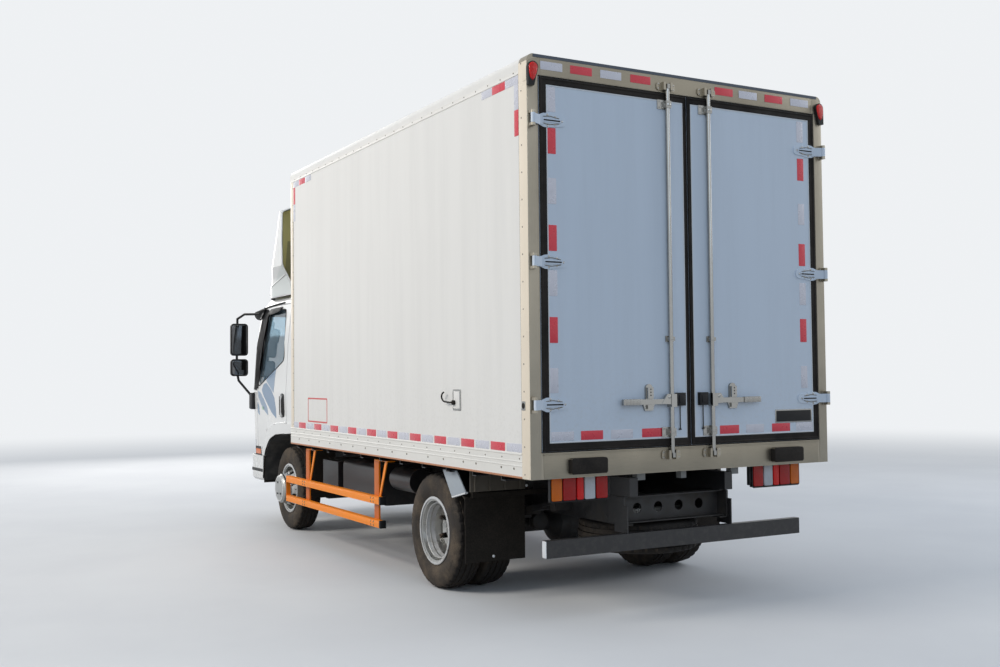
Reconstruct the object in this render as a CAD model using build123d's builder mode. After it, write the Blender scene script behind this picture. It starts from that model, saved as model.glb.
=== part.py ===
from build123d import *
import os
from math import cos, sin, radians

# Refrigerated box truck. Millimetres, +X the truck's left, -Y its front, +Z up, ground at Z 0.

# overall sizes
rear_y = 2942.0
front_y = -2989.0
body_len = 4148.0
body_half = 1130.0
body_front_y = rear_y - body_len
skirt_z = 846.0
floor_z = 974.0
deck_t = 16.0
beam_low = 810.0
beam_high = 892.0
roof_z = 3253.0
wall_t = 80.0
eave_z = 3153.0
seat_gap = 0.3
run_gap = 0.08

# axles and wheels
tyre_r = 387.5
rear_axle_y = 1473.0
wheelbase = 3360.0
front_axle_y = rear_axle_y - wheelbase
axle_z = tyre_r
rim_offset = 115.0
front_wheel_x = 830.0
dual_x = 819.0
kingpin_x = 760.0

# ladder frame
rail_x = 395.0
rail_flange = 60.0
rail_t = 7.0
rail_bottom = 520.0
rail_top = 700.0
rail_front = -2760.0
rail_rear = 2800.0

# rear portal and doors
portal_d = 90.0
post_w = 70.0
header_bottom = 3134.0
sill_top = 991.0
door_gap = 6.0
door_t = 85.0
door_split = 3.0
pin_x = 1112.0
pin_out = 34.0
hinge_heights = (1262, 2070, 2878)
strap_half = 42.0
strap_root = 30.0
barrel_half = 28.0
bar_x = 157.0
bar_r = 13.5
handle_z = 1266.0

# cab
cab_t = 45.0
cab_rear_y = -1400.0
cab_front_y = -2968.0
cab_bottom = 660.0
cab_door_front = -2715.0
cab_door_rear = -1806.0
cab_door_top = 2128.0
cab_door_bottom = 668.0
cab_gap = 6.0
hinge_x = 978.0
hinge_y = cab_door_front - 2.8
belt_z = 1290.0
pivot_y = -2850.0
pivot_z = 715.0
cab_floor_z = 900.0
seat_floor_z = 1090.0
floor_t = 40.0
lamp_low = 676.0
lamp_high = 806.0
lamp_rear = -2770.0

os.makedirs("parts", exist_ok=True)


def save(piece, label):
    """Label one finished piece and write it."""
    piece.part.label = label
    export_step(piece.part, "parts/" + label + ".step")


def slab(x, y, z, mode=Mode.ADD):
    """A plain block between pairs of limits along X, Y and Z."""
    with Locations(((x[0] + x[1]) / 2, (y[0] + y[1]) / 2, (z[0] + z[1]) / 2)):
        Box(abs(x[1] - x[0]), abs(y[1] - y[0]), abs(z[1] - z[0]), mode=mode)


def side_profile(points, x0, x1, mode=Mode.ADD, round_r=0.0):
    """A closed outline in Y and Z, given as (y, z) points, carried from x0 to x1."""
    with BuildSketch(Plane.YZ.offset(x0)) as outline:
        with BuildLine():
            Polyline(*points, close=True)
        make_face()
        if round_r > 0:
            fillet(outline.vertices(), round_r)
    extrude(outline.sketch, amount=x1 - x0, mode=mode)


def front_profile(points, y0, y1, mode=Mode.ADD, round_r=0.0):
    """A closed outline in X and Z, given as (x, z) points, carried from y0 to y1."""
    with BuildSketch(Plane.XZ.offset(-y0)) as outline:
        with BuildLine():
            Polyline(*points, close=True)
        make_face()
        if round_r > 0:
            fillet(outline.vertices(), round_r)
    extrude(outline.sketch, amount=-(y1 - y0), mode=mode)


def rod(start, end, radius, mode=Mode.ADD):
    """A round bar from one point to another."""
    path = Vector(*end) - Vector(*start)
    with BuildSketch(Plane(origin=start, z_dir=path)) as ring:
        Circle(radius)
    extrude(ring.sketch, amount=path.length, mode=mode)


def turned(points, x_centre, y, z, side, mode=Mode.ADD):
    """A profile of (x outward, radius) points turned about an axle line along X."""
    with BuildSketch(Plane(origin=(side * x_centre, y, z), x_dir=(side, 0, 0), z_dir=(0, -side, 0))) as half:
        with BuildLine():
            Polyline(*points, close=True)
        make_face()
    revolve(half.sketch, axis=Axis((0, y, z), (1, 0, 0)), mode=mode)


# chassis frame
with BuildPart() as frame_rails:
    for side in (1, -1):
        web, lip = side * rail_x, side * (rail_x - rail_flange)
        inner = side * (rail_x - rail_t)
        front_profile(((web, rail_bottom), (web, rail_top), (lip, rail_top), (lip, rail_top - rail_t),
                       (inner, rail_top - rail_t), (inner, rail_bottom + rail_t), (lip, rail_bottom + rail_t),
                       (lip, rail_bottom)), rail_front, rail_rear)
        # bracket and pivot pin of the tilting cab
        slab((side * (rail_x - 32), side * rail_x), (pivot_y - 30, rail_front + 90), (pivot_z - 28, pivot_z + 32))
        rod((side * (rail_x - rail_t), pivot_y, pivot_z), (side * 470, pivot_y, pivot_z), 15)
        # hangers at the springs' ends: y, inner x, outer x, low z, high z
        for y, x0, x1, low, high in ((front_axle_y - 635, 335, 395, 455, rail_bottom),
                                     (front_axle_y + 635, 335, 395, 455, rail_bottom),
                                     (rear_axle_y - 705, 395, 520, 560, 660),
                                     (rear_axle_y + 705, 395, 520, 560, 660)):
            slab((side * x0, side * x1), (y - 35, y + 35), (low, high))
save(frame_rails, "frame_rails")

# cross-members between the webs: y, bottom z, top z
cross_table = ((-2700, 540, 640), (-1250, 640, 692), (-350, 560, 690), (700, 560, 690),
               (1040, 600, 690), (1900, 600, 690), (2740, 530, 690))
web_in = rail_x - rail_t
with BuildPart() as cross_members:
    for y, low, high in cross_table:
        slab((-web_in, web_in), (y - 35, y + 35), (low, high))
        slab((-web_in, web_in), (y - 29, y + 35), (low + 6, high - 6), mode=Mode.SUBTRACT)
    # round holes in the rearmost member
    with Locations((-240, 2740, 610), (-80, 2740, 610), (80, 2740, 610), (240, 2740, 610)):
        Cylinder(32, 120, rotation=(90, 0, 0), mode=Mode.SUBTRACT)
    # arch behind the cab: two posts on the rails, a bar across them and a rubber pad at each end
    for side in (1, -1):
        slab((side * 345, side * rail_x), (-1560, -1490), (rail_top, 950 - seat_gap))
    slab((-470, 470), (-1560, -1490), (950, 990))
    for side in (1, -1):
        slab((side * 405, side * 465), (-1560, -1490), (990, 1030 - seat_gap))
save(cross_members, "cross_members")

# springs
with BuildPart() as leaf_springs:
    # pack centre x, width, axle y, seat z of the lowest leaf, leaf thickness, half lengths, rise at the ends
    packs = ((365, 56, front_axle_y, 345, 14, (600, 430, 270), 118),
             (480, 66, rear_axle_y, 450, 20, (670, 560, 440, 320), 85))
    for x, wide, y, low, leaf, halves, rise in packs:
        for side in (1, -1):
            for row, half in enumerate(reversed(halves)):
                bend = rise * (half / halves[0]) ** 2
                with BuildSketch(Plane.YZ.offset(side * x - wide / 2)) as outline:
                    with BuildLine():
                        z0 = low + row * leaf
                        ThreePointArc((y - half, z0 + bend), (y, z0), (y + half, z0 + bend))
                        Line((y + half, z0 + bend), (y + half, z0 + bend + leaf))
                        ThreePointArc((y + half, z0 + bend + leaf), (y, z0 + leaf), (y - half, z0 + bend + leaf))
                        Line((y - half, z0 + bend + leaf), (y - half, z0 + bend))
                    make_face()
                extrude(outline.sketch, amount=wide)
save(leaf_springs, "leaf_springs")

# axles
with BuildPart() as front_axle:
    front_profile(((-kingpin_x, 355), (-kingpin_x, 420), (-700, 420), (-520, 345), (520, 345), (700, 420),
                   (kingpin_x, 420), (kingpin_x, 355), (700, 355), (540, 265), (-540, 265), (-700, 355)),
                  front_axle_y - 32, front_axle_y + 32)
    for side in (1, -1):
        with Locations((side * kingpin_x, front_axle_y, 387.5)):
            Cylinder(42, 100)
            Cylinder(16, 200)
save(front_axle, "front_axle")

with BuildPart() as rear_axle:
    rod((-600, rear_axle_y, axle_z), (600, rear_axle_y, axle_z), 62)
    rod((-885, rear_axle_y, axle_z), (885, rear_axle_y, axle_z), 45)
    turned(((-150, 62), (-90, 140), (-30, 165), (30, 165), (90, 140), (150, 62), (150, 0), (-150, 0)),
           0, rear_axle_y, axle_z, 1)
    rod((0, rear_axle_y - 100, axle_z), (0, rear_axle_y - 330, axle_z + 6), 78)
    for side in (1, -1):
        rod((side * 588, rear_axle_y, axle_z), (side * 596, rear_axle_y, axle_z), 158)
        slab((side * 445, side * 515), (rear_axle_y - 90, rear_axle_y + 90), (axle_z + 20, 450))
save(rear_axle, "rear_axle")

# powertrain
with BuildPart() as powertrain:
    slab((-290, 290), (-2150, -1590), (470, 1050))
    for side in (1, -1):
        slab((side * 290, side * 387.7), (-1960, -1880), (590, 660))
    with BuildSketch(Plane.XZ.offset(1590)) as bell:
        with Locations((0, 520)):
            Circle(150)
    with BuildSketch(Plane.XZ.offset(1300)) as waist:
        with Locations((0, 520)):
            Circle(100)
    with BuildSketch(Plane.XZ.offset(950)) as tail:
        with Locations((0, 520)):
            Circle(70)
    loft([bell.sketch, waist.sketch, tail.sketch], ruled=True)
    rod((0, -955, 520), (0, rear_axle_y - 333, axle_z + 6), 38)
save(powertrain, "powertrain")

with BuildPart() as fuel_tank:
    front_profile(((430, 410), (430, 740), (860, 740), (860, 410)), -640, 160, round_r=60)
    for y in (-560, -240, 80):
        slab((rail_x, 432), (y - 25, y + 25), (540, 690))
save(fuel_tank, "fuel_tank")

with BuildPart() as battery_box:
    slab((rail_x, 860), (-1130, -760), (470, 700))
    # air reservoir on two brackets ahead of the rear wheels
    rod((760, 320, 640), (760, 700, 640), 92)
    for y in (400, 620):
        slab((rail_x, 700), (y - 18, y + 18), (600, 680))
save(battery_box, "battery_box")

with BuildPart() as exhaust:
    rod((-610, -700, 486), (-610, 60, 486), 115)
    rod((-610, 55, 486), (-610, 420, 486), 30)
    rod((-610, -1120, 486), (-610, -695, 486), 30)
    rod((-334, -1640, 486), (-610, -1120, 486), 28)
    with Locations((-610, -1120, 486)):
        Sphere(31)
    slab((-350, -290), (-1700, -1600), (472, 512))
    for y in (-600, -40):
        slab((-rail_x, -590), (y - 20, y + 20), (590, 640))
save(exhaust, "exhaust")

# wheels
tyre_half = ((-76.4, 206.3), (-81.4, 227), (-97, 262), (-100, 310), (-92, 358), (-76, 380), (0, 387.5),
             (76, 380), (92, 358), (100, 310), (97, 262), (81.4, 227), (76.4, 206.3))
rim_well = ((88, 226), (82, 226), (77, 206), (66, 204), (40, 202), (20, 186), (-40, 186), (-62, 202),
            (-77, 206), (-82, 226), (-88, 226), (-83, 200), (-60, 195), (-36, 179), (16, 179), (36, 195), (83, 200))
disc_dish = ((4, 182), (58, 172), (98, 150), (115, 132), (115, 60), (106, 60), (106, 128), (92, 143),
             (54, 164), (0, 174))


def hand_holes(x_centre, y, side, ring_r, hole_r, count, x_from, x_to):
    """Round holes through a wheel disc, evenly spaced on a ring."""
    for n in range(count):
        turn = radians(360 / count * (n + 0.5))
        at_y, at_z = y + ring_r * cos(turn), axle_z + ring_r * sin(turn)
        rod((side * (x_centre + x_from), at_y, at_z), (side * (x_centre + x_to), at_y, at_z), hole_r, Mode.SUBTRACT)


for side, name in ((1, "left"), (-1, "right")):
    with BuildPart() as front_tyre:
        turned(tyre_half, front_wheel_x, front_axle_y, axle_z, side)
    save(front_tyre, "front_tyre_" + name)

    with BuildPart() as front_wheel:
        turned(rim_well, front_wheel_x, front_axle_y, axle_z, side)
        turned(disc_dish, front_wheel_x, front_axle_y, axle_z, side)
        hand_holes(front_wheel_x, front_axle_y, side, 156, 19, 8, 40, 130)
        # hub, drum and the flat-faced outer cover
        turned(((106, 60), (106, 70), (115, 70), (115, 134), (170, 134), (188, 122), (194, 104), (196, 0),
                (150, 0), (150, 35.2 + run_gap), (20, 35.2 + run_gap), (20, 75), (12, 75), (12, 150), (-52, 150),
                (-52, 162), (24, 162), (24, 87), (60, 87), (60, 60)), front_wheel_x, front_axle_y, axle_z, side)
    save(front_wheel, "front_wheel_" + name)

    with BuildPart() as rear_tyres:
        for x in (dual_x - rim_offset, dual_x + rim_offset):
            turned(tyre_half, x, rear_axle_y, axle_z, side)
    save(rear_tyres, "rear_tyres_" + name)

    with BuildPart() as rear_wheels:
        turned(rim_well, dual_x - rim_offset, rear_axle_y, axle_z, side)
        turned(disc_dish, dual_x - rim_offset, rear_axle_y, axle_z, side)
        turned([(-a, b) for a, b in rim_well], dual_x + rim_offset, rear_axle_y, axle_z, side)
        turned([(-a, b) for a, b in disc_dish], dual_x + rim_offset, rear_axle_y, axle_z, side)
        hand_holes(dual_x, rear_axle_y, side, 156, 19, 8, -90, 90)
        # hub with its drum inboard and the axle shaft's flange outboard
        turned(((-180, 166), (-112, 166), (-112, 95), (-18, 95), (-18, 134), (18, 134), (18, 92), (70, 86), (76, 80),
                (76, 0), (68, 0), (68, 45 + run_gap), (-130, 45 + run_gap), (-130, 80), (-122, 80), (-122, 154),
                (-180, 154)), dual_x, rear_axle_y, axle_z, side)
    save(rear_wheels, "rear_wheels_" + name)

    # steering knuckle: yoke round the axle's end, stub axle, brake plate and steering arm
    with BuildPart() as knuckle:
        front_profile(((side * 722, 438), (side * 722, 478), (side * 836, 478), (side * 836, 297), (side * 722, 297),
                       (side * 722, 337), (side * 808, 337), (side * 808, 438)),
                      front_axle_y - 36, front_axle_y + 36)
        rod((side * 808, front_axle_y, axle_z), (side * 975, front_axle_y, axle_z), 35)
        rod((side * 806, front_axle_y, axle_z), (side * 812, front_axle_y, axle_z), 146)
        slab((side * 700, side * 736), (front_axle_y + 20, front_axle_y + 165), (298, 334))
        rod((side * kingpin_x, front_axle_y, 290), (side * kingpin_x, front_axle_y, 485), 16 + run_gap, Mode.SUBTRACT)
    save(knuckle, "knuckle_" + name)

with BuildPart() as spare_tyre:
    with BuildSketch(Plane.XZ.offset(-2385)) as half:
        with BuildLine():
            Polyline(*[(b, a + 415) for a, b in tyre_half], close=True)
        make_face()
    revolve(half.sketch, axis=Axis((0, 2385, 0), (0, 0, 1)))
save(spare_tyre, "spare_tyre")

with BuildPart() as spare_wheel:
    with BuildSketch(Plane.XZ.offset(-2385)) as half:
        with BuildLine():
            Polyline(*[(b, a + 415) for a, b in rim_well], close=True)
        make_face()
        with BuildLine():
            Polyline(*[(b, -a + 415) for a, b in disc_dish], close=True)
        make_face()
    revolve(half.sketch, axis=Axis((0, 2385, 0), (0, 0, 1)))
    # carrier plate, hanger bolt and the bar that holds it between the rails
    slab((-45, 45), (2300, 2470), (292, 300))
    rod((0, 2385, 292), (0, 2385, 545), 12)
    slab((-388, 388), (2360, 2410), (530, 560))
save(spare_wheel, "spare_wheel")

# insulated body
with BuildPart() as body_floor:
    # slab, deck between the walls and side skirts with a stepped outer face
    slab((-1118, 1118), (body_front_y, rear_y - portal_d), (beam_high, floor_z))
    deck_half = body_half - wall_t - seat_gap
    slab((-deck_half, deck_half), (body_front_y + wall_t + seat_gap, rear_y - portal_d - seat_gap),
         (floor_z, floor_z + deck_t))
    for side in (1, -1):
        front_profile(((side * 1112, skirt_z), (side * 1130, skirt_z), (side * 1130, 918), (side * 1126, 922),
                       (side * 1130, 926), (side * 1130, floor_z), (side * 1112, floor_z)),
                      body_front_y, rear_y - portal_d)
save(body_floor, "body_floor")

with BuildPart() as floor_beams:
    # long sills on the rails and the cross-beams that carry the floor
    for side in (1, -1):
        slab((side * 335, side * rail_x), (body_front_y + 60, rear_y - portal_d), (rail_top, beam_low - seat_gap))
    for n in range(11):
        y = body_front_y + 70 + n * 368
        slab((-1085, 1085), (y - 25, y + 25), (beam_low, beam_high))
        for side in (1, -1):
            slab((side * 397, side * 1090), (y - 19, y + 30), (beam_low + 6, beam_high - 6), mode=Mode.SUBTRACT)
save(floor_beams, "floor_beams")

for side, name in ((1, "left"), (-1, "right")):
    with BuildPart() as body_side:
        slab((side * (body_half - wall_t), side * body_half), (body_front_y + wall_t, rear_y - portal_d),
             (floor_z, eave_z))
        # tape-height rail and door holder are trim; the eave rail's lip is here
        slab((side * body_half, side * (body_half - 3)), (body_front_y + wall_t, rear_y - portal_d),
             (eave_z - 3, eave_z), mode=Mode.SUBTRACT)
    save(body_side, "body_side_" + name)

with BuildPart() as body_front:
    with BuildSketch(Plane.XY.offset(floor_z)) as plan:
        with BuildLine():
            Polyline((-body_half, body_front_y), (body_half, body_front_y), (body_half, body_front_y + wall_t),
                     (-body_half, body_front_y + wall_t), close=True)
        make_face()
        fillet(plan.vertices().group_by(Axis.Y)[0], 28)
    extrude(plan.sketch, amount=eave_z - floor_z)
save(body_front, "body_front")

with BuildPart() as body_roof:
    with BuildSketch(Plane.XZ.offset(-body_front_y)) as section:
        with BuildLine():
            Polyline((-body_half, eave_z), (-body_half, roof_z), (body_half, roof_z), (body_half, eave_z),
                     (body_half - wall_t, eave_z), (body_half - wall_t - 20, eave_z + 20),
                     (-body_half + wall_t + 20, eave_z + 20), (-body_half + wall_t, eave_z), close=True)
        make_face()
        fillet(section.vertices().group_by(Axis.Y)[-1], 42)
    extrude(section.sketch, amount=-(rear_y - portal_d - body_front_y))
save(body_roof, "body_roof")

with BuildPart() as rear_frame:
    with BuildSketch(Plane.XZ.offset(-rear_y)) as portal:
        with BuildLine():
            Polyline((-body_half, 844), (-body_half, roof_z), (body_half, roof_z), (body_half, 844), close=True)
        make_face()
        fillet(portal.vertices().group_by(Axis.Y)[-1], 42)
        with BuildLine():
            Polyline((-body_half + post_w, sill_top), (-body_half + post_w, header_bottom),
                     (body_half - post_w, header_bottom), (body_half - post_w, sill_top), close=True)
        make_face(mode=Mode.SUBTRACT)
    extrude(portal.sketch, amount=portal_d)
    # keepers for the lock bars: a lobe with a foot on both sides of each bar end, open to the rear
    for side in (1, -1):
        for out in (-1, 1):
            for z0, z1 in ((3144, 3192), (920, 974)):
                near, far = side * bar_x + out * 17, side * bar_x + out * 70
                slab((near, near + out * 17), (rear_y, rear_y + 34), (z0, z1))
                with BuildSketch(Plane.XZ.offset(-rear_y)) as foot:
                    with Locations(((near + far) / 2, (z0 + z1) / 2)):
                        RectangleRounded(abs(far - near), z1 - z0, 18)
                extrude(foot.sketch, amount=-9)
        # rubber buffers on the sill
        slab((side * 640, side * 880), (rear_y, rear_y + 36), (868, 952))
        # fixed halves of the hinges: a plate on the post with an ear above and below the strap
        for z in hinge_heights:
            slab((side * 1090, side * 1122), (rear_y, rear_y + 6), (z - 46, z + 46))
            for low, high in ((z - 44, z - barrel_half - seat_gap), (z + barrel_half + seat_gap, z + 44)):
                slab((side * 1099, side * 1125), (rear_y, rear_y + pin_out), (low, high))
                rod((side * pin_x, rear_y + pin_out, low), (side * pin_x, rear_y + pin_out, high), 13)
            rod((side * pin_x, rear_y + pin_out, z - 30), (side * pin_x, rear_y + pin_out, z + 30), 6)
save(rear_frame, "rear_frame")

leaf_x = body_half - post_w - door_gap
leaf_z0 = sill_top + door_gap
leaf_z1 = header_bottom - door_gap
for side, name in ((1, "left"), (-1, "right")):
    with BuildPart() as rear_door:
        # insulated leaf with its free edge bevelled and a stepped rim for the seal
        with BuildSketch(Plane.XY.offset(leaf_z0)) as plan:
            with BuildLine():
                Polyline((side * door_split, rear_y), (side * leaf_x, rear_y), (side * leaf_x, rear_y - door_t),
                         (side * (door_split + 14), rear_y - door_t), close=True)
            make_face()
        extrude(plan.sketch, amount=leaf_z1 - leaf_z0)
        slab((side * 29, side * 1008), (rear_y, rear_y + 3), (1044, 3084))
        # hinge straps: a boat-shaped plate with a rib along it, cranked out to the barrel
        for z in hinge_heights:
            with BuildSketch(Plane.XZ.offset(-rear_y - 2)) as plate:
                with BuildLine():
                    Polyline((side * 903, z + 29), (side * 960, z + 35), (side * 1003, z + strap_half),
                             (side * 1030, z + 40), (side * 1056, z + strap_root), (side * 1056, z - strap_root),
                             (side * 1030, z - 40), (side * 1003, z - strap_half), (side * 960, z - 35),
                             (side * 903, z - 29))
                    ThreePointArc((side * 903, z - 29), (side * 874, z), (side * 903, z + 29))
                make_face()
            extrude(plate.sketch, amount=-7)
            slab((side * 912, side * 1036), (rear_y + 9, rear_y + 13), (z - 11, z + 11))
            with BuildSketch(Plane.XY.offset(z - barrel_half)) as strap:
                with BuildLine():
                    Polyline((side * 1030, rear_y + 3), (side * 1056, rear_y + 3), (side * 1102, rear_y + 22),
                             (side * 1102, rear_y + 31), (side * 1052, rear_y + 12), (side * 1030, rear_y + 12),
                             close=True)
                make_face()
            extrude(strap.sketch, amount=2 * barrel_half)
            rod((side * pin_x, rear_y + pin_out, z - barrel_half), (side * pin_x, rear_y + pin_out, z + barrel_half),
                13)
            rod((side * pin_x, rear_y + pin_out, z - 31), (side * pin_x, rear_y + pin_out, z + 31),
                6 + run_gap, Mode.SUBTRACT)
    save(rear_door, "rear_door_" + name)

    with BuildPart() as lock_gear:
        face = rear_y + 3
        at_x, bar_y = side * bar_x, rear_y + 22
        rod((at_x, bar_y, 934), (at_x, bar_y, 3176), bar_r)
        # guides: a saddle round the bar on a foot that reaches to the truck's left
        for z, half, reach in ((3057, 28, 66), (1640, 18, 30), (1082, 30, 66)):
            slab((at_x - 30, at_x + reach), (face, face + 7), (z - half, z + half))
            slab((at_x - 19, at_x + 19), (face, face + 34), (z - half + 6, z + half - 6))
        # cams at both ends, clear of the keepers' lobes
        for z in (3168, 945):
            slab((at_x - 10, at_x + 10), (rear_y + 10, rear_y + 38), (z - 14, z + 14))
        # hub on the bar, cheek plate and the handle lying along the door with its thicker grip
        slab((at_x - 20, at_x + 20), (face, face + 44), (handle_z - 34, handle_z + 44))
        front_profile(((side * 172, handle_z - 18), (side * 172, handle_z + 44), (side * 205, handle_z + 44),
                       (side * 246, handle_z - 14)), face + 20, face + 40)
        slab((side * 170, side * 525), (face + 26, face + 37), (handle_z - 15, handle_z + 15))
        slab((side * 392, side * 525), (face + 22, face + 42), (handle_z - 17, handle_z + 17))
        # catch for the handle: an upright tab with a round top over a plate with a tapered foot
        with BuildSketch(Plane.XZ.offset(-face)) as catch:
            with BuildLine():
                Polyline((side * 345, handle_z + 80), (side * 345, handle_z), (side * 366, handle_z - 10),
                         (side * 352, handle_z - 52), (side * 294, handle_z - 52), (side * 280, handle_z - 10),
                         (side * 295, handle_z), (side * 295, handle_z + 80))
                ThreePointArc((side * 295, handle_z + 80), (side * 320, handle_z + 105), (side * 345, handle_z + 80))
            make_face()
        extrude(catch.sketch, amount=-14)
        slab((side * 300, side * 340), (face + 13, face + 26), (handle_z - 44, handle_z - 18))
        slab((side * 300, side * 340), (face + 13, face + 30), (handle_z + 18, handle_z + 84))
        # latch block near the door's free edge
        slab((side * 56, side * 118), (face, face + 24), (handle_z - 26, handle_z + 48))
    save(lock_gear, "lock_gear_" + name)

# refrigeration unit
with BuildPart() as cooling_unit:
    side_profile(((body_front_y, 2440), (body_front_y, 3040), (body_front_y - 240, 3040), (body_front_y - 380, 2940),
                  (body_front_y - 380, 2440)), -700, 700)
    slab((-600, 600), (body_front_y - 400, body_front_y - 350), (2500, 2860), mode=Mode.SUBTRACT)
    for n in range(9):
        slab((-605, 605), (body_front_y - 372, body_front_y - 352), (2512 + n * 39, 2530 + n * 39))
    for x in (-430, 0, 430):
        slab((x - 8, x + 8), (body_front_y - 372, body_front_y - 345), (2495, 2865))
save(cooling_unit, "cooling_unit")

# guards, lamps and bars
lamp_in = 560.0
lamp_out = 950.0
lamp_face = 2862.0
lamp_base = 702.0
guard_x = 1100.0
guard_front = -1430.0
guard_rear = 700.0
with BuildPart() as side_guards:
    back = guard_x - 40
    for side in (1, -1):
        for z0, z1 in ((490, 545), (320, 372)):
            front_profile(((side * guard_x, z0), (side * guard_x, z1), (side * back, z1), (side * back, z1 - 5),
                           (side * (guard_x - 6), z1 - 5), (side * (guard_x - 6), z0)), guard_front, guard_rear)
        slab((side * back, side * guard_x), (guard_front - 6 - seat_gap, guard_front - seat_gap), (320, 545))
        # posts behind the rails, each with a brace and a foot under the floor beams
        for y in (-960, 570):
            post = (side * (back - 8 - seat_gap), side * (back - seat_gap))
            slab(post, (y - 45, y + 45), (320, beam_low - 5))
            side_profile(((y + 30, 520), (y + 52, 520), (y + 190, beam_low - 5), (y + 150, beam_low - 5)), *post)
            slab((side * (guard_x - 100), side * (back - seat_gap)), (y - 50, y + 200), (beam_low - 7, beam_low))
save(side_guards, "side_guards")

with BuildPart() as mudguards:
    for side in (1, -1):
        # flap behind the bumper's end, then the liner behind each front wheel and its stay from the rail
        slab((side * 720, side * 975), (-2500 + seat_gap, -2494), (392, 650))
        slab((side * 640, side * 930), (-1418, -1410), (330, 790))
        slab((side * rail_x, side * 700), (-1410 + seat_gap, -1380), (640, 690))
        # plate and flap behind the rear tyres
        side_profile(((1640, beam_low - 7), (1955, 640), (1961, 640), (1961, 650), (1645, beam_low)),
                     side * 600, side * 1040)
        slab((side * 600, side * 1040), (1955, 1961), (235, 640 - seat_gap))
        slab((side * rail_x, side * 1000), (1961 + seat_gap, 1990), (650, 680))
        slab((side * 960, side * 1000), (1961 + seat_gap, 1990), (680 + seat_gap, beam_low))
save(mudguards, "mudguards")

with BuildPart() as underride_bar:
    side_profile(((2792, 380), (2837, 380), (2837, 480), (2792, 480), (2792, 474), (2831, 474), (2831, 386),
                  (2792, 386)), -970, 970)
    for side in (1, -1):
        slab((side * 970, side * 964), (2792, 2837), (380, 480))
        slab((side * rail_x, side * (rail_x + 8)), (2700, 2834), (480 + seat_gap, 640))
        slab((side * rail_x, side * (rail_x + 8)), (2640, 2800), (530, 690))
save(underride_bar, "underride_bar")

with BuildPart() as rear_lamps:
    for side in (1, -1):
        # five chambers in one housing, hung from the sill by a flat bar
        slab((side * lamp_in, side * lamp_out), (lamp_face - 34, lamp_face - 6), (lamp_base, lamp_base + 140))
        for x0, x1 in ((0, 74), (78, 168), (172, 222), (226, 302), (306, 390)):
            slab((side * (lamp_out - x0 - 3), side * (lamp_out - x1 + 3)), (lamp_face - 6.2, lamp_face),
                 (lamp_base + 6, lamp_base + 134))
        slab((side * (lamp_in + 20), side * (lamp_out - 20)), (lamp_face - 16, lamp_face - 6),
             (lamp_base + 138, 844))
        # marker lamp at the post's top: a drop wrapped round the corner
        with BuildSketch(Plane.XZ.offset(-rear_y)) as marker:
            with BuildLine():
                Polyline((side * 1066, 3172), (side * 1094, 3066), (side * 1133, 3066), (side * 1133, 3172))
                ThreePointArc((side * 1133, 3172), (side * 1099, 3204), (side * 1066, 3172))
            make_face()
        extrude(marker.sketch, amount=-22)
        slab((side * 1130, side * 1133), (rear_y - 40, rear_y + 1), (3100, 3172))
save(rear_lamps, "rear_lamps")

# cab form
# z, half width, front y, rear y
cab_low = ((cab_bottom, 963, cab_front_y + 13, cab_rear_y), (belt_z, 980, cab_front_y, cab_rear_y))
cab_high = ((belt_z, 980, cab_front_y, cab_rear_y), (1760, 955, -2936, cab_rear_y), (2040, 922, -2872, cab_rear_y),
            (2140, 900, -2812, -1406), (2200, 868, -2720, -1428), (2240, 790, -2540, -1500))


def cab_plan(z, half, front, rear, inset):
    """The cab's outline seen from above at one height, moved inward by inset."""
    half, front, rear = half - inset, front + inset, rear - inset
    with BuildSketch(Plane.XY.offset(z)) as plan:
        with BuildLine():
            Line((half, front + 40), (half, rear))
            Line((half, rear), (-half, rear))
            Line((-half, rear), (-half, front + 40))
            ThreePointArc((-half, front + 40), (0, front), (half, front + 40))
        make_face()
        corners = plan.vertices().group_by(Axis.Y)
        fillet(corners[0], 130 - inset)
        fillet(corners[-1], 60 - inset if inset < 50 else 10)
    return plan.sketch


def cab_form(inset, cap=0.0):
    """The whole cab as one solid, its skin moved inward by inset and its top lowered by cap."""
    with BuildPart() as form:
        loft([cab_plan(z, half, front, rear, inset) for z, half, front, rear in cab_low], ruled=True)
        rows = [(z - cap * max(0.0, (z - 2040) / 200), half, front, rear) for z, half, front, rear in cab_high]
        loft([cab_plan(z, half, front, rear, inset) for z, half, front, rear in rows], ruled=True)
    return form.part


cab_outer = cab_form(0)
cab_inner = cab_form(cab_t, cap=45)
cab_skin = cab_form(-20)
glass_outer = cab_form(8, cap=8)
glass_inner = cab_form(14, cap=14)


def yz_region(points, half=1400.0, inner=0.0, side=0, round_r=0.0):
    """A solid region through the cab, given by a side outline of (y, z) points."""
    with BuildPart() as region:
        if side == 0:
            side_profile(points, -half, half, round_r=round_r)
        else:
            side_profile(points, side * inner, side * half, round_r=round_r)
    return region.part


# arch opening, the flare's outer edge and the door's outline, all as (y, z)
arch_line = ((-2500, 300), (-2494, 420), (-2440, 700), (-2290, 830), (-2100, 884), (-1390, 925), (-1390, 300))
flare_line = ((-2575, 300), (-2570, 500), (-2518, 740), (-2360, 925), (-2120, 985), (-1390, 1010), (-1390, 300))
door_line = ((cab_door_front, cab_door_bottom), (cab_door_front, belt_z), (-2505, cab_door_top),
             (cab_door_rear - 8, cab_door_top), (cab_door_rear, 1350), (cab_door_rear, 1003),
             (-2122, 991), (-2364, 931), (-2524, 744), (-2560, cab_door_bottom))
door_hole = ((cab_door_front - cab_gap, cab_door_bottom - 60), (cab_door_front - cab_gap, belt_z + 2),
             (-2512, cab_door_top + cab_gap), (cab_door_rear + cab_gap, cab_door_top + cab_gap),
             (cab_door_rear + cab_gap, 997), (-2121, 985), (-2360, 925), (-2518, 740), (-2553, cab_door_bottom - 60))
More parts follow.
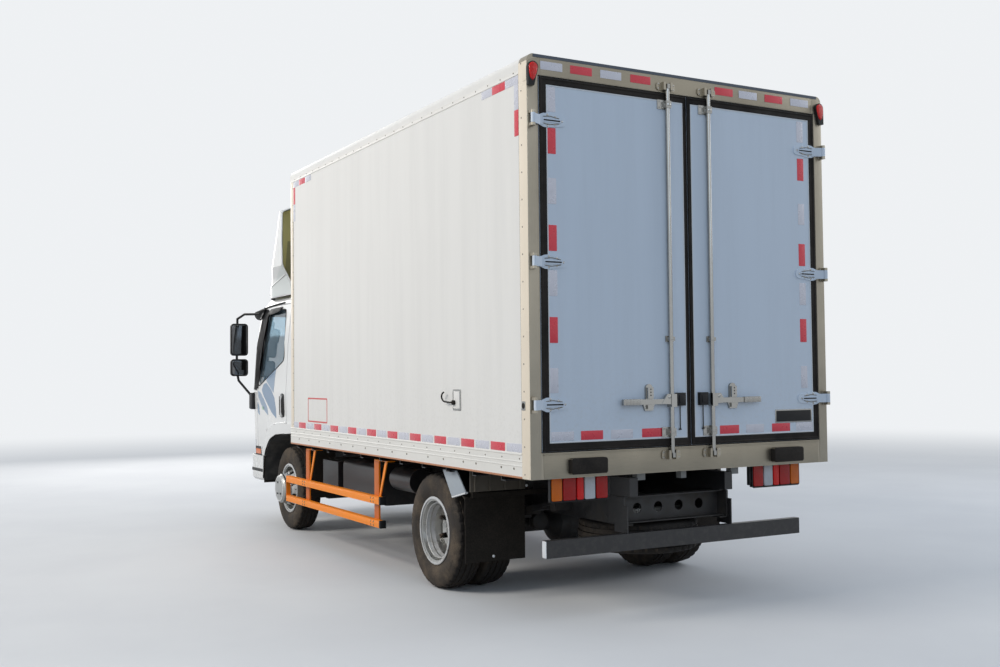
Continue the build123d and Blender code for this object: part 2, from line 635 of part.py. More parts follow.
door_window = ((-2676, 1334), (-2478, 2082), (-1962, 2082), (-1892, 1592))

# cab pieces
with BuildPart() as cab_front:
    add(cab_outer)
    add(cab_inner, mode=Mode.SUBTRACT)
    add(yz_region(((-3100, 500), (-3100, belt_z - 5), (cab_door_front - cab_gap, belt_z - 5),
                   (cab_door_front - cab_gap, 500))), mode=Mode.INTERSECT)
    # grille opening with its slats and the lamp apertures
    slab((-560, 560), (-3050, -2880), (850, 1000), mode=Mode.SUBTRACT)
    for side in (1, -1):
        slab((side * 600, side * 1000), (-3050, lamp_rear), (lamp_low, lamp_high), mode=Mode.SUBTRACT)
    for z in (880, 925, 970):
        slab((-565, 565), (-2955, -2925), (z - 7, z + 7))
    for x in (-280, 0, 280):
        slab((x - 6, x + 6), (-2945, -2925), (845, 1005))
save(cab_front, "cab_front")

with BuildPart() as headlamps:
    add(cab_outer)
    add(cab_inner, mode=Mode.SUBTRACT)
    add(yz_region(((-3100, lamp_low + seat_gap), (-3100, lamp_high - seat_gap),
                   (lamp_rear - seat_gap, lamp_high - seat_gap), (lamp_rear - seat_gap, lamp_low + seat_gap))),
        mode=Mode.INTERSECT)
    slab((-600 - seat_gap, 600 + seat_gap), (-3100, -2700), (600, 900), mode=Mode.SUBTRACT)
save(headlamps, "headlamps")

screen_half = 880.0
with BuildPart() as cab_roof:
    add(cab_outer)
    add(cab_inner, mode=Mode.SUBTRACT)
    add(yz_region(((-3100, belt_z), (-3100, 2400), (-1300, 2400), (-1300, cab_door_top + cab_gap),
                   (-2512, cab_door_top + cab_gap), (cab_door_front - cab_gap, belt_z))), mode=Mode.INTERSECT)
    # windscreen opening
    with BuildSketch(Plane.XZ.offset(3100)) as opening:
        with BuildLine():
            Polyline((-screen_half, 1316), (-screen_half + 40, 2062), (screen_half - 40, 2062), (screen_half, 1316),
                     close=True)
        make_face()
        fillet(opening.vertices(), 60)
    extrude(opening.sketch, amount=-400, mode=Mode.SUBTRACT)
save(cab_roof, "cab_roof")

with BuildPart() as cab_rear:
    add(cab_outer)
    add(cab_inner, mode=Mode.SUBTRACT)
    add(yz_region(((-2640, 660), (-2640, 1100), (cab_door_rear + cab_gap, 1100), (cab_door_rear + cab_gap, 2134),
                   (-1300, 2134), (-1300, 660))), mode=Mode.INTERSECT)
    add(yz_region(door_hole), mode=Mode.SUBTRACT)
    # flared lip round the arch
    with BuildPart(mode=Mode.PRIVATE) as lip:
        add(cab_skin)
        add(cab_inner, mode=Mode.SUBTRACT)
        add(yz_region(flare_line), mode=Mode.INTERSECT)
        add(yz_region(((-2640, 660), (-2640, 1100), (-1415, 1100), (-1415, 660))), mode=Mode.INTERSECT)
    add(lip.part)
    add(yz_region(arch_line), mode=Mode.SUBTRACT)
    slab((-1100, 1100), (-1500, -1300), (500, 930), mode=Mode.SUBTRACT)
    # rear window
    with BuildSketch(Plane.XZ.offset(1300)) as opening:
        with Locations((0, 1790)):
            RectangleRounded(1100, 440, 60)
    extrude(opening.sketch, amount=200, mode=Mode.SUBTRACT)
save(cab_rear, "cab_rear")

with BuildPart() as cab_floor:
    add(cab_form(cab_t + seat_gap, cap=45))
    add(yz_region(((-3000, cab_floor_z), (-3000, cab_floor_z + floor_t), (-2255, cab_floor_z + floor_t),
                   (-2255, seat_floor_z + floor_t), (-1300, seat_floor_z + floor_t), (-1300, seat_floor_z),
                   (-2215, seat_floor_z), (-2215, cab_floor_z))), mode=Mode.INTERSECT)
save(cab_floor, "cab_floor")

with BuildPart() as cab_arms:
    # long members under the floor that turn on the pivot pins
    for side in (1, -1):
        side_profile(((pivot_y - 35, pivot_z - 30), (pivot_y - 35, cab_floor_z - seat_gap),
                      (-2215 + seat_gap, cab_floor_z - seat_gap), (-2215 + seat_gap, 940),
                      (-2170, seat_floor_z - seat_gap), (-1450, seat_floor_z - seat_gap), (-1450, 1030),
                      (-2120, 1030), (-2190, 840), (pivot_y + 90, 840), (pivot_y + 35, pivot_z - 30)),
                     side * 405, side * 465)
        rod((side * 400, pivot_y, pivot_z), (side * 475, pivot_y, pivot_z), 15 + run_gap, Mode.SUBTRACT)
save(cab_arms, "cab_arms")

with BuildPart() as cab_glass:
    add(glass_outer)
    add(glass_inner, mode=Mode.SUBTRACT)
    with BuildPart(mode=Mode.PRIVATE) as panes:
        with BuildSketch(Plane.XZ.offset(3100)) as opening:
            with BuildLine():
                Polyline((-screen_half + seat_gap, 1316 + seat_gap), (-screen_half + 40 + seat_gap, 2062 - seat_gap),
                         (screen_half - 40 - seat_gap, 2062 - seat_gap), (screen_half - seat_gap, 1316 + seat_gap),
                         close=True)
            make_face()
            fillet(opening.vertices(), 60)
        extrude(opening.sketch, amount=-400)
        with BuildSketch(Plane.XZ.offset(1300)) as opening:
            with Locations((0, 1790)):
                RectangleRounded(1100 - 2 * seat_gap, 440 - 2 * seat_gap, 60)
        extrude(opening.sketch, amount=200)
    add(panes.part, mode=Mode.INTERSECT)
save(cab_glass, "cab_glass")

for side, name in ((1, "left"), (-1, "right")):
    with BuildPart() as cab_door:
        add(cab_outer)
        add(cab_inner, mode=Mode.SUBTRACT)
        add(yz_region(door_line, side=side), mode=Mode.INTERSECT)
        add(yz_region(door_window, side=side, round_r=45), mode=Mode.SUBTRACT)
        # pull handle, and the hinge pins in the gap ahead of the door
        slab((side * 965, side * 1002), (-1958, -1898), (1060, 1266))
        for z in (1180, 1240):
            rod((side * hinge_x, hinge_y, z - 20), (side * hinge_x, hinge_y, z + 20), 2.9)
    save(cab_door, "cab_door_" + name)

    with BuildPart() as door_glass:
        add(glass_outer)
        add(glass_inner, mode=Mode.SUBTRACT)
        add(yz_region(door_window, side=side, round_r=46), mode=Mode.INTERSECT)
    save(door_glass, "door_glass_" + name)

# roof fairing
# z, half width, front y at the middle, front y at the sides, rear y, corner radius
fairing_rows = ((2210, 900, -2690, -2610, -1845, 150), (2300, 905, -2680, -2600, -1850, 150),
                (2395, 928, -2620, -2480, -1915, 180), (2495, 980, -2560, -2300, -1920, 180),
                (2760, 985, -2330, -2150, -1920, 140), (3015, 980, -2105, -2035, -1920, 80),
                (3052, 890, -2070, -2010, -1920, 60))
fairing_t = 10.0


def fairing_plan(z, half, middle, sides, rear, corner, inset, back):
    """The fairing's outline from above at one height, moved inward by inset and its rear edge by back."""
    with BuildSketch(Plane.XY.offset(z)) as plan:
        with BuildLine():
            Line((half - inset, sides + inset), (half - inset, rear + back))
            Line((half - inset, rear + back), (-half + inset, rear + back))
            Line((-half + inset, rear + back), (-half + inset, sides + inset))
            ThreePointArc((-half + inset, sides + inset), (0, middle + inset), (half - inset, sides + inset))
        make_face()
        fillet(plan.vertices().group_by(Axis.Y)[0], corner - inset)
    return plan.sketch


with BuildPart() as roof_fairing:
    loft([fairing_plan(*row, 0, 0) for row in fairing_rows], ruled=True)
    with BuildPart(mode=Mode.PRIVATE) as hollow:
        loft([fairing_plan(row[0] - (fairing_t if row[0] > 3000 else 0), *row[1:], fairing_t, 50)
              for row in fairing_rows], ruled=True)
    add(hollow.part, mode=Mode.SUBTRACT)
    add(cab_form(-seat_gap, cap=-seat_gap), mode=Mode.SUBTRACT)
save(roof_fairing, "roof_fairing")

# cab interior
with BuildPart() as seats:
    base = seat_floor_z + floor_t + seat_gap
    # centre x, half width
    for x, half in ((430, 250), (-380, 470)):
        slab((x - half + 30, x + half - 30), (-2120, -1640), (base, base + 90))
        slab((x - half, x + half), (-2160, -1600), (base + 90, base + 220))
        side_profile(((-1700, base + 220), (-1590, base + 150), (-1480, base + 790), (-1560, base + 810)),
                     x - half, x + half)
        for hx in ((x,) if half < 300 else (x - 225, x + 225)):
            slab((hx - 115, hx + 115), (-1550, -1462), (base + 780, base + 940))
save(seats, "seats")

wheel_at = Vector(430, -2410, 1500)
wheel_dir = Vector(0, 0.5, 0.866).normalized()
with BuildPart() as dashboard:
    add(cab_form(cab_t + 1, cap=45))
    add(yz_region(((-3000, 1080), (-3000, 1282), (-2820, 1330), (-2600, 1310), (-2560, 1230), (-2640, 1080))),
        mode=Mode.INTERSECT)
    low = wheel_at - wheel_dir * 330
    high = wheel_at - wheel_dir * 22
    rod(tuple(low), tuple(high), 32)
    slab((380, 480), (-2760, -2540), (1200, 1290))
save(dashboard, "dashboard")

with BuildPart() as steering_wheel:
    with BuildSketch(Plane(origin=tuple(wheel_at), x_dir=(1, 0, 0), z_dir=tuple(wheel_dir))) as spokes:
        Circle(58)
        for turn in (90, 210, 330):
            with Locations((105 * cos(radians(turn)), 105 * sin(radians(turn)))):
                Rectangle(200, 34, rotation=turn)
    extrude(spokes.sketch, amount=-21.7)
    with BuildSketch(Plane(origin=tuple(wheel_at), x_dir=(1, 0, 0), z_dir=tuple(wheel_dir))) as ring:
        Circle(222)
        Circle(192, mode=Mode.SUBTRACT)
    extrude(ring.sketch, amount=-24)
save(steering_wheel, "steering_wheel")

# mirrors
mirror_x = 1100.0
mirror_back = -2918.0
with BuildPart() as mirrors:
    # bent tube from the roof's corner down to the bracket on the cab's front corner
    tube = ((918, -2800, 2075), (1045, -2930, 2078), (1110, -2960, 2030), (1118, -2960, 1500), (1100, -2950, 1400),
            (985, -2865, 1235))
    for side in (1, -1):
        # centre height, height
        for z, tall in ((1817, 328), (1532, 174)):
            with BuildSketch(Plane.XZ.offset(-mirror_back)) as shell:
                with Locations((side * mirror_x, z)):
                    RectangleRounded(178, tall, 34)
            extrude(shell.sketch, amount=30)
            extrude(shell.sketch.moved(Location((0, -30, 0))), amount=38, taper=28)
        for a, b in zip(tube, tube[1:]):
            rod((side * a[0], a[1], a[2]), (side * b[0], b[1], b[2]), 12)
        for a in tube[1:-1]:
            with Locations((side * a[0], a[1], a[2])):
                Sphere(12)
        side_profile(((-2892, 1112), (-2892, 1232), (-2840, 1262), (-2810, 1240), (-2810, 1130), (-2840, 1108)),
                     side * 945, side * 1000)
    add(cab_outer, mode=Mode.SUBTRACT)
save(mirrors, "mirrors")

# front bumper
def bumper_plan(z, inset):
    """The bumper's outline from above, moved inward by inset."""
    with BuildSketch(Plane.XY.offset(z)) as plan:
        with BuildLine():
            Line((985 - inset, front_y + 45), (985 - inset, -2500))
            Line((985 - inset, -2500), (-985 + inset, -2500))
            Line((-985 + inset, -2500), (-985 + inset, front_y + 45))
            ThreePointArc((-985 + inset, front_y + 45), (0, front_y + inset), (985 - inset, front_y + 45))
        make_face()
        fillet(plan.vertices().group_by(Axis.Y)[0], 130 - inset)
    return plan.sketch


with BuildPart() as front_bumper:
    loft([bumper_plan(z, inset) for z, inset in ((405, 30), (430, 4), (470, 0))], ruled=True)
    loft([bumper_plan(z, 0) for z in (470, 655)], ruled=True)
    with BuildPart(mode=Mode.PRIVATE) as hollow:
        extrude(bumper_plan(380, 34), amount=52)
        extrude(bumper_plan(432, 14), amount=300)
    add(hollow.part, mode=Mode.SUBTRACT)
    slab((-900, 900), (-2560, -2400), (300, 800), mode=Mode.SUBTRACT)
    slab((-450, 450), (-3050, -2900), (470, 540), mode=Mode.SUBTRACT)
    for z in (492, 518):
        slab((-455, 455), (-2990, -2978), (z - 5, z + 5))
    for side in (1, -1):
        slab((side * 340, side * 392), (-2984, -2700), (440, 520))
save(front_bumper, "front_bumper")
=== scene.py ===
from math import cos, sin, pi, radians

import bmesh
import bpy
from mathutils import Matrix, Vector
from mathutils.bvhtree import BVHTree


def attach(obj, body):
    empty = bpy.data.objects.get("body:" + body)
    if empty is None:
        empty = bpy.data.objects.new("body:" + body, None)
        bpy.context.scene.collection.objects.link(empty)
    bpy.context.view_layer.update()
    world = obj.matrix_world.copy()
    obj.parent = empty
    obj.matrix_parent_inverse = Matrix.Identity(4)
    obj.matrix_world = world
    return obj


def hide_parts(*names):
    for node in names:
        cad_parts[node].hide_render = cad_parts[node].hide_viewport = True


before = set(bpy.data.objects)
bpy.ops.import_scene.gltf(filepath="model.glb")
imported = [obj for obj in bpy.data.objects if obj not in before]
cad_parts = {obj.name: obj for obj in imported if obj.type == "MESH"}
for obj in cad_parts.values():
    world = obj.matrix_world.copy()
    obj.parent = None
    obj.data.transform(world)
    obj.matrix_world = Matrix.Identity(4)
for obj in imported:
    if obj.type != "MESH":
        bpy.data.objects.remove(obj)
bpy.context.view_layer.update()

# Camera at the photograph's place
CAMERA_AT = (4.3035, 8.3005, 1.4351)
CAMERA_YAW, CAMERA_PITCH, CAMERA_ROLL = radians(29.115), radians(2.1145), radians(-0.5589)
FOCAL_LENGTH = 1.11325      # as a share of the picture's width
SENSOR = 36.0


def set_camera():
    """The solved view: place, heading to the right of straight ahead, pitch and roll."""
    yaw, pitch, roll = CAMERA_YAW, CAMERA_PITCH, CAMERA_ROLL
    ahead = Vector((-sin(yaw) * cos(pitch), -cos(yaw) * cos(pitch), sin(pitch)))
    right = Vector((-cos(yaw), sin(yaw), 0))
    above = right.cross(ahead)
    data = bpy.data.cameras.new("view")
    data.sensor_fit = "HORIZONTAL"
    data.sensor_width = SENSOR
    data.lens = FOCAL_LENGTH * SENSOR
    data.clip_end = 200.0
    cam = bpy.data.objects.new("view", data)
    axes = Matrix((cos(roll) * right + sin(roll) * above, cos(roll) * above - sin(roll) * right, -ahead))
    cam.matrix_world = Matrix.Translation(CAMERA_AT) @ axes.transposed().to_4x4()
    bpy.context.scene.collection.objects.link(cam)
    bpy.context.scene.camera = cam


# Materials: a small layer over the node tree
class Nodes:
    """A node tree whose helpers return sockets, so that a material reads from top to bottom."""

    def __init__(self, tree):
        self.tree = tree

    def link(self, source, target):
        """Joins a socket, or sets a constant."""
        if isinstance(source, bpy.types.NodeSocket):
            self.tree.links.new(source, target)
        elif target.type == "RGBA":
            target.default_value = (*source, 1.0)
        else:
            target.default_value = source

    def node(self, kind, inputs, **options):
        made = self.tree.nodes.new(kind)
        for key, value in options.items():
            setattr(made, key, value)
        for key, value in inputs.items():
            self.link(value, made.inputs[key])
        return made

    def maths(self, operation, a, b=0.0):
        return self.node("ShaderNodeMath", {0: a, 1: b}, operation=operation).outputs[0]

    def blend(self, factor, a, b):
        """A mix of two shaders."""
        return self.node("ShaderNodeMixShader", {0: factor, 1: a, 2: b}).outputs[0]

    def seen(self):
        """1 for the camera's rays and those that a mirror or glass sends on, else 0."""
        rays = self.node("ShaderNodeLightPath", {}).outputs
        sent_on = self.maths("MAXIMUM", rays["Is Glossy Ray"], rays["Is Transmission Ray"])
        return self.maths("MAXIMUM", rays["Is Camera Ray"], sent_on)


class Shader(Nodes):
    """One procedural material."""

    def __init__(self, name, colour, roughness, metallic=0.0, **sockets):
        self.material = bpy.data.materials.new(name)
        self.material.use_nodes = True
        super().__init__(self.material.node_tree)
        self.bsdf = self.tree.nodes["Principled BSDF"]
        for key, value in dict(sockets, Base_Color=colour, Roughness=roughness, Metallic=metallic).items():
            self.set(key.replace("_", " "), value)
        self.place = self.node("ShaderNodeTexCoord", {}).outputs["Object"]

    def set(self, socket, value):
        """A constant goes on the shader itself and a socket is linked to it."""
        self.link(value, self.bsdf.inputs[socket])

    def stretched(self, scale):
        """Object coordinates scaled along each axis."""
        return self.node("ShaderNodeMapping", {"Vector": self.place, "Scale": scale}).outputs["Vector"]

    def noise(self, scale, detail=4.0, rough=0.55, vector=None):
        inputs = {"Vector": vector or self.place, "Scale": scale, "Detail": detail, "Roughness": rough}
        return self.node("ShaderNodeTexNoise", inputs).outputs["Fac"]

    def ramp(self, value, low, high, to_low=0.0, to_high=1.0):
        inputs = {"Value": value, "From Min": low, "From Max": high, "To Min": to_low, "To Max": to_high}
        return self.node("ShaderNodeMapRange", inputs, interpolation_type="SMOOTHSTEP").outputs["Result"]

    def mix(self, factor, a, b):
        return self.node("ShaderNodeMix", {"Factor": factor, "A": a, "B": b}, data_type="RGBA").outputs["Result"]

    def axis(self, letter, vector=None):
        return self.node("ShaderNodeSeparateXYZ", {0: vector or self.place}).outputs[letter]

    def bump(self, height, strength, distance):
        inputs = {"Strength": strength, "Distance": distance, "Height": height}
        self.set("Normal", self.node("ShaderNodeBump", inputs).outputs["Normal"])


def scaled(colour, factor):
    return tuple(min(1.0, c * factor) for c in colour)


def paint(name, colour, roughness, dust, dust_top, coat):
    """Sprayed paint: slight mottle, orange peel, and road dust that thins out upwards."""
    s = Shader(name, colour, roughness, Coat_Weight=coat, Coat_Roughness=0.12)
    cloud = s.noise(1.7, 5.0)
    base = s.mix(s.ramp(cloud, 0.3, 0.75), scaled(colour, 0.965), scaled(colour, 1.02))
    low = s.ramp(s.axis("Z"), 0.25, dust_top, 1.0, 0.0)
    specks = s.ramp(s.noise(26.0, 6.0, 0.7), 0.42, 0.72)
    amount = s.maths("MULTIPLY", s.maths("MULTIPLY", low, dust), s.maths("ADD", specks, 0.35))
    s.set("Base Color", s.mix(amount, base, (0.30, 0.27, 0.23)))
    s.set("Roughness", s.ramp(s.maths("ADD", amount, s.maths("MULTIPLY", cloud, 0.25)), 0.0, 0.6,
                              roughness * 0.8, min(0.9, roughness + 0.35)))
    s.bump(s.noise(350.0, 2.0), 0.12, 0.0004)
    return s.material


def panel_white(name, colour):
    """Glass-fibre faced insulated panel: faint vertical waves, rain streaks and dust above the skirt."""
    s = Shader(name, colour, 0.38, Coat_Weight=0.08, Coat_Roughness=0.3)
    streaks = s.noise(1.0, 5.0, 0.6, s.stretched((9.0, 9.0, 0.55)))
    cloud = s.noise(0.8, 3.0)
    base = s.mix(s.ramp(streaks, 0.35, 0.75), colour, scaled(colour, 0.95))
    base = s.mix(s.ramp(cloud, 0.4, 0.8, 0.0, 0.4), base, scaled(colour, 0.965))
    low = s.ramp(s.axis("Z"), 0.98, 1.7, 0.28, 0.0)
    specks = s.ramp(s.noise(40.0, 6.0, 0.7), 0.45, 0.8)
    s.set("Base Color", s.mix(s.maths("MULTIPLY", low, specks), base, (0.52, 0.49, 0.44)))
    s.set("Roughness", s.ramp(cloud, 0.3, 0.8, 0.36, 0.48))
    s.bump(s.noise(3.0, 2.0, 0.4, s.stretched((1.0, 1.0, 0.15))), 0.12, 0.004)
    return s.material


def steel(name, colour, roughness, stain=0.3, grain=(1.0, 1.0, 0.02), scale=900.0):
    """Brushed stainless: long fine scratches along the part, smudges and water marks."""
    s = Shader(name, colour, roughness, 1.0)
    scratch = s.noise(scale, 3.0, 0.6, s.stretched(grain))
    smudge = s.noise(6.0, 5.0, 0.65)
    base = s.mix(s.ramp(scratch, 0.3, 0.7), scaled(colour, 0.88), scaled(colour, 1.06))
    base = s.mix(s.ramp(smudge, 0.5, 0.8, 0.0, stain), base, scaled(colour, 0.72))
    base = s.mix(s.ramp(s.noise(1.6, 3.0, 0.5), 0.35, 0.7, 0.0, 0.55), base, scaled(colour, 1.3))
    s.set("Base Color", base)
    s.set("Roughness", s.ramp(s.maths("ADD", scratch, s.maths("MULTIPLY", smudge, 0.6)), 0.4, 1.1,
                              roughness * 0.75, roughness * 1.5))
    s.bump(scratch, 0.08, 0.0004)
    return s.material


def rubber(name, colour, dust, grain, walls=False):
    """Rubber with a fine grain and brown road dust, on a tyre mostly on its side walls."""
    s = Shader(name, colour, 0.75, Specular_IOR_Level=0.15)
    fine = s.noise(grain, 5.0, 0.65)
    patch = s.noise(5.0, 5.0, 0.7)
    amount = s.maths("MULTIPLY", s.ramp(patch, 0.38, 0.75, 0.15, dust), s.ramp(fine, 0.35, 0.7, 0.5, 1.0))
    if walls:
        facing = s.axis("X", s.node("ShaderNodeTexCoord", {}).outputs["Normal"])
        amount = s.maths("MULTIPLY", amount, s.ramp(s.maths("ABSOLUTE", facing), 0.35, 0.9, 0.25, 1.0))
    s.set("Base Color", s.mix(amount, colour, (0.175, 0.135, 0.098)))
    s.set("Roughness", s.ramp(patch, 0.3, 0.8, 0.62, 0.88))
    s.bump(fine, 0.3, 0.0006)
    return s.material


def plastic(name, colour, roughness, grain, dust, gloss=0.5):
    """Moulded plastic with a leather-like grain and a little dust."""
    s = Shader(name, colour, roughness, Specular_IOR_Level=gloss)
    patch = s.noise(7.0, 5.0)
    s.set("Base Color", s.mix(s.ramp(patch, 0.45, 0.8, 0.0, dust), colour, (0.16, 0.15, 0.135)))
    s.set("Roughness", s.ramp(patch, 0.3, 0.75, roughness * 0.85, min(0.9, roughness * 1.3)))
    s.bump(s.noise(grain, 3.0, 0.5), 0.25, 0.0005)
    return s.material


def chassis_paint(name):
    """Black frame paint under dry mud: matt, blotched, with rust starting on edges."""
    s = Shader(name, (0.03, 0.03, 0.032), 0.55)
    mud = s.noise(9.0, 6.0, 0.7)
    rust = s.noise(30.0, 5.0, 0.7)
    base = s.mix(s.ramp(mud, 0.42, 0.75, 0.0, 0.7), (0.014, 0.014, 0.015), (0.060, 0.050, 0.040))
    s.set("Base Color", s.mix(s.ramp(rust, 0.62, 0.78, 0.0, 0.5), base, (0.06, 0.026, 0.012)))
    s.set("Roughness", s.ramp(mud, 0.35, 0.75, 0.42, 0.9))
    s.bump(s.noise(120.0, 4.0), 0.4, 0.0008)
    return s.material


def cast_iron(name):
    """Sand-cast grey iron of the engine and gearbox."""
    grey = (0.17, 0.17, 0.175)
    s = Shader(name, grey, 0.6, 0.4)
    oil = s.noise(6.0, 4.0)
    s.set("Base Color", s.mix(s.ramp(oil, 0.45, 0.75), grey, (0.06, 0.055, 0.05)))
    s.set("Roughness", s.ramp(oil, 0.4, 0.75, 0.7, 0.4))
    s.bump(s.noise(220.0, 5.0, 0.7), 0.6, 0.001)
    return s.material


def window_glass(name):
    """Tinted safety glass with a faint dust film."""
    s = Shader(name, (0.36, 0.45, 0.50), 0.02, IOR=1.45, Transmission_Weight=0.92)
    film = s.noise(3.0, 5.0, 0.7)
    s.set("Roughness", s.ramp(film, 0.4, 0.8, 0.01, 0.06))
    s.set("Base Color", s.mix(s.ramp(film, 0.4, 0.8), (0.33, 0.42, 0.48), (0.40, 0.48, 0.52)))
    return s.material


def fabric(name):
    """Seat cloth: a two-way weave with flecks."""
    s = Shader(name, (0.13, 0.13, 0.14), 0.9, Sheen_Weight=0.3)
    weave = s.node("ShaderNodeTexWave", {"Vector": s.place, "Scale": 320.0, "Distortion": 1.2},
                   wave_type="BANDS", bands_direction="DIAGONAL").outputs["Fac"]
    flecks = s.noise(500.0, 3.0)
    s.set("Base Color", s.mix(s.ramp(s.maths("ADD", weave, flecks), 0.6, 1.4),
                              (0.09, 0.09, 0.10), (0.19, 0.19, 0.205)))
    s.bump(weave, 0.35, 0.0008)
    return s.material


def lens(name, colour):
    """Moulded lamp lens: prisms in a grid under a clear gloss skin."""
    s = Shader(name, colour, 0.12, IOR=1.49, Coat_Weight=0.15, Coat_Roughness=0.05, Specular_IOR_Level=0.25)
    pitch = 0.008
    across, up = (s.maths("SINE", s.maths("MULTIPLY", s.axis(letter), 2 * pi / pitch)) for letter in "XZ")
    grid = s.maths("MULTIPLY", across, up)
    base = s.mix(s.ramp(grid, -1.0, 1.0), scaled(colour, 0.72), scaled(colour, 1.12))
    s.set("Base Color", s.mix(s.ramp(s.noise(12.0, 3.0), 0.35, 0.7, 0.0, 0.3), base, scaled(colour, 0.6)))
    s.bump(grid, 0.5, 0.0012)
    return s.material


def tape(name, colour):
    """Retro-reflective tape: honeycomb cells in a slightly metallic film."""
    s = Shader(name, colour, 0.3, 0.25, Coat_Weight=0.6, Coat_Roughness=0.15)
    cells = s.node("ShaderNodeTexVoronoi", {"Vector": s.place, "Scale": 260.0}, feature="DISTANCE_TO_EDGE")
    edge = s.ramp(cells.outputs["Distance"], 0.0, 0.12)
    patch = s.noise(14.0, 4.0)
    base = s.mix(edge, scaled(colour, 1.12), colour)
    s.set("Base Color", s.mix(s.ramp(patch, 0.5, 0.8, 0.0, 0.35), base, scaled(colour, 0.8)))
    s.set("Roughness", s.ramp(patch, 0.3, 0.8, 0.24, 0.42))
    s.bump(edge, 0.15, 0.0004)
    return s.material


MATERIALS = (
    # colour, roughness, dust, height in metres where the dust ends, coat
    (paint, {"cab_paint": ((0.80, 0.80, 0.79), 0.25, 0.2, 0.95, 0.6),
             "unit_paint": ((0.79, 0.80, 0.80), 0.35, 0.2, 0.9, 0.2),
             "skirt_paint": ((0.79, 0.77, 0.725), 0.38, 0.35, 1.05, 0.15),
             "orange_paint": ((0.98, 0.27, 0.0), 0.5, 0.04, 0.8, 0.0),
             "orange_dark": ((0.55, 0.12, 0.0), 0.5, 0.1, 0.8, 0.0),
             "tank_paint": ((0.014, 0.014, 0.016), 0.4, 0.08, 0.95, 0.0),
             "edge_strip": ((0.74, 0.76, 0.78), 0.3, 0.1, 0.9, 0.2),
             "roof_edge": ((0.045, 0.065, 0.095), 0.35, 0.1, 0.9, 0.2),
             "corner_white": ((0.84, 0.735, 0.59), 0.3, 0.25, 1.1, 0.2),
             "gusset_grey": ((0.36, 0.41, 0.46), 0.35, 0.3, 0.9, 0.2),
             "carrier_brown": ((0.085, 0.072, 0.055), 0.6, 0.3, 0.9, 0.0),
             "runner_grey": ((0.26, 0.27, 0.27), 0.5, 0.3, 0.9, 0.0),
             # painted shade: a grey-green copy of the cab's white, for the fairing's lower panels that face away from
             # the light
             "fairing_low": ((0.60, 0.64, 0.625), 0.32, 0.1, 0.9, 0.3),
             "rust_lip": ((0.46, 0.20, 0.10), 0.6, 0.4, 1.0, 0.0),
             "label_red": ((0.60, 0.05, 0.05), 0.4, 0.1, 0.9, 0.1),
             "decal_blue": ((0.12, 0.22, 0.36), 0.3, 0.2, 0.9, 0.5),
             "decal_light": ((0.19, 0.29, 0.42), 0.3, 0.2, 0.9, 0.5),
             "decal_green": ((0.20, 0.50, 0.22), 0.3, 0.2, 0.9, 0.5),
             "olive_gelcoat": ((0.64, 0.58, 0.25), 0.5, 0.2, 0.9, 0.05),
             # painted shade: a darker copy of the lining's olive
             "olive_dark": ((0.36, 0.33, 0.17), 0.6, 0.2, 0.9, 0.0),
             "rim_edge": ((0.60, 0.61, 0.62), 0.3, 0.6, 0.75, 0.3)}),
    (panel_white, {"panel_white": ((0.80, 0.785, 0.755),),
                   # painted shade: the doors' white is darker and bluer than the panels' own white, for the rear face
                   # lying in the sky's shade
                   "door_white": ((0.66, 0.735, 0.83),)}),
    # colour, roughness, stain, grain along each axis, scale of the scratches
    (steel, {"stainless": ((0.31, 0.285, 0.235), 0.34),
             "stainless_lying": ((0.255, 0.233, 0.188), 0.32, 0.3, (0.02, 1.0, 1.0)),
             "bright_steel": ((0.31, 0.31, 0.30), 0.14),
             "rim_silver": ((0.44, 0.44, 0.425), 0.27, 0.6, (1.0, 1.0, 0.02), 60.0),
             "dull_bolt": ((0.16, 0.15, 0.13), 0.42),
             "mirror_glass": ((0.17, 0.175, 0.185), 0.03, 0.02)}),
    # colour, dust, grain, dust on the walls
    (rubber, {"tyre_rubber": ((0.020, 0.019, 0.019), 0.9, 180.0, True),
              "sheet_rubber": ((0.008, 0.008, 0.008), 0.10, 120.0),
              "gasket_rubber": ((0.008, 0.008, 0.009), 0.05, 160.0)}),
    # colour, roughness, grain, dust, gloss
    (plastic, {"black_plastic": ((0.012, 0.012, 0.013), 0.42, 420.0, 0.08, 0.25),
               "dash_plastic": ((0.11, 0.11, 0.115), 0.6, 260.0, 0.15),
               "floor_mat": ((0.06, 0.06, 0.062), 0.75, 90.0, 0.5),
               "smoked_visor": ((0.008, 0.008, 0.009), 0.5, 40.0, 0.03, 0.06),
               "arch_lining": ((0.02, 0.02, 0.021), 0.7, 150.0, 0.6),
               "grille_black": ((0.03, 0.03, 0.032), 0.35, 300.0, 0.1)}),
    (lens, {"lens_red": ((0.50, 0.002, 0.002),),
            "lens_bright": ((0.95, 0.006, 0.006),),
            "lens_amber": ((0.85, 0.17, 0.0),),
            "lens_clear": ((0.66, 0.68, 0.72),)}),
    (tape, {"tape_red": ((0.62, 0.016, 0.042),),
            "tape_silver": ((0.56, 0.565, 0.63),)}),
    (chassis_paint, {"chassis_paint": ()}),
    (cast_iron, {"cast_iron": ()}),
    (window_glass, {"window_glass": ()}),
    (fabric, {"seat_cloth": ()}),
)

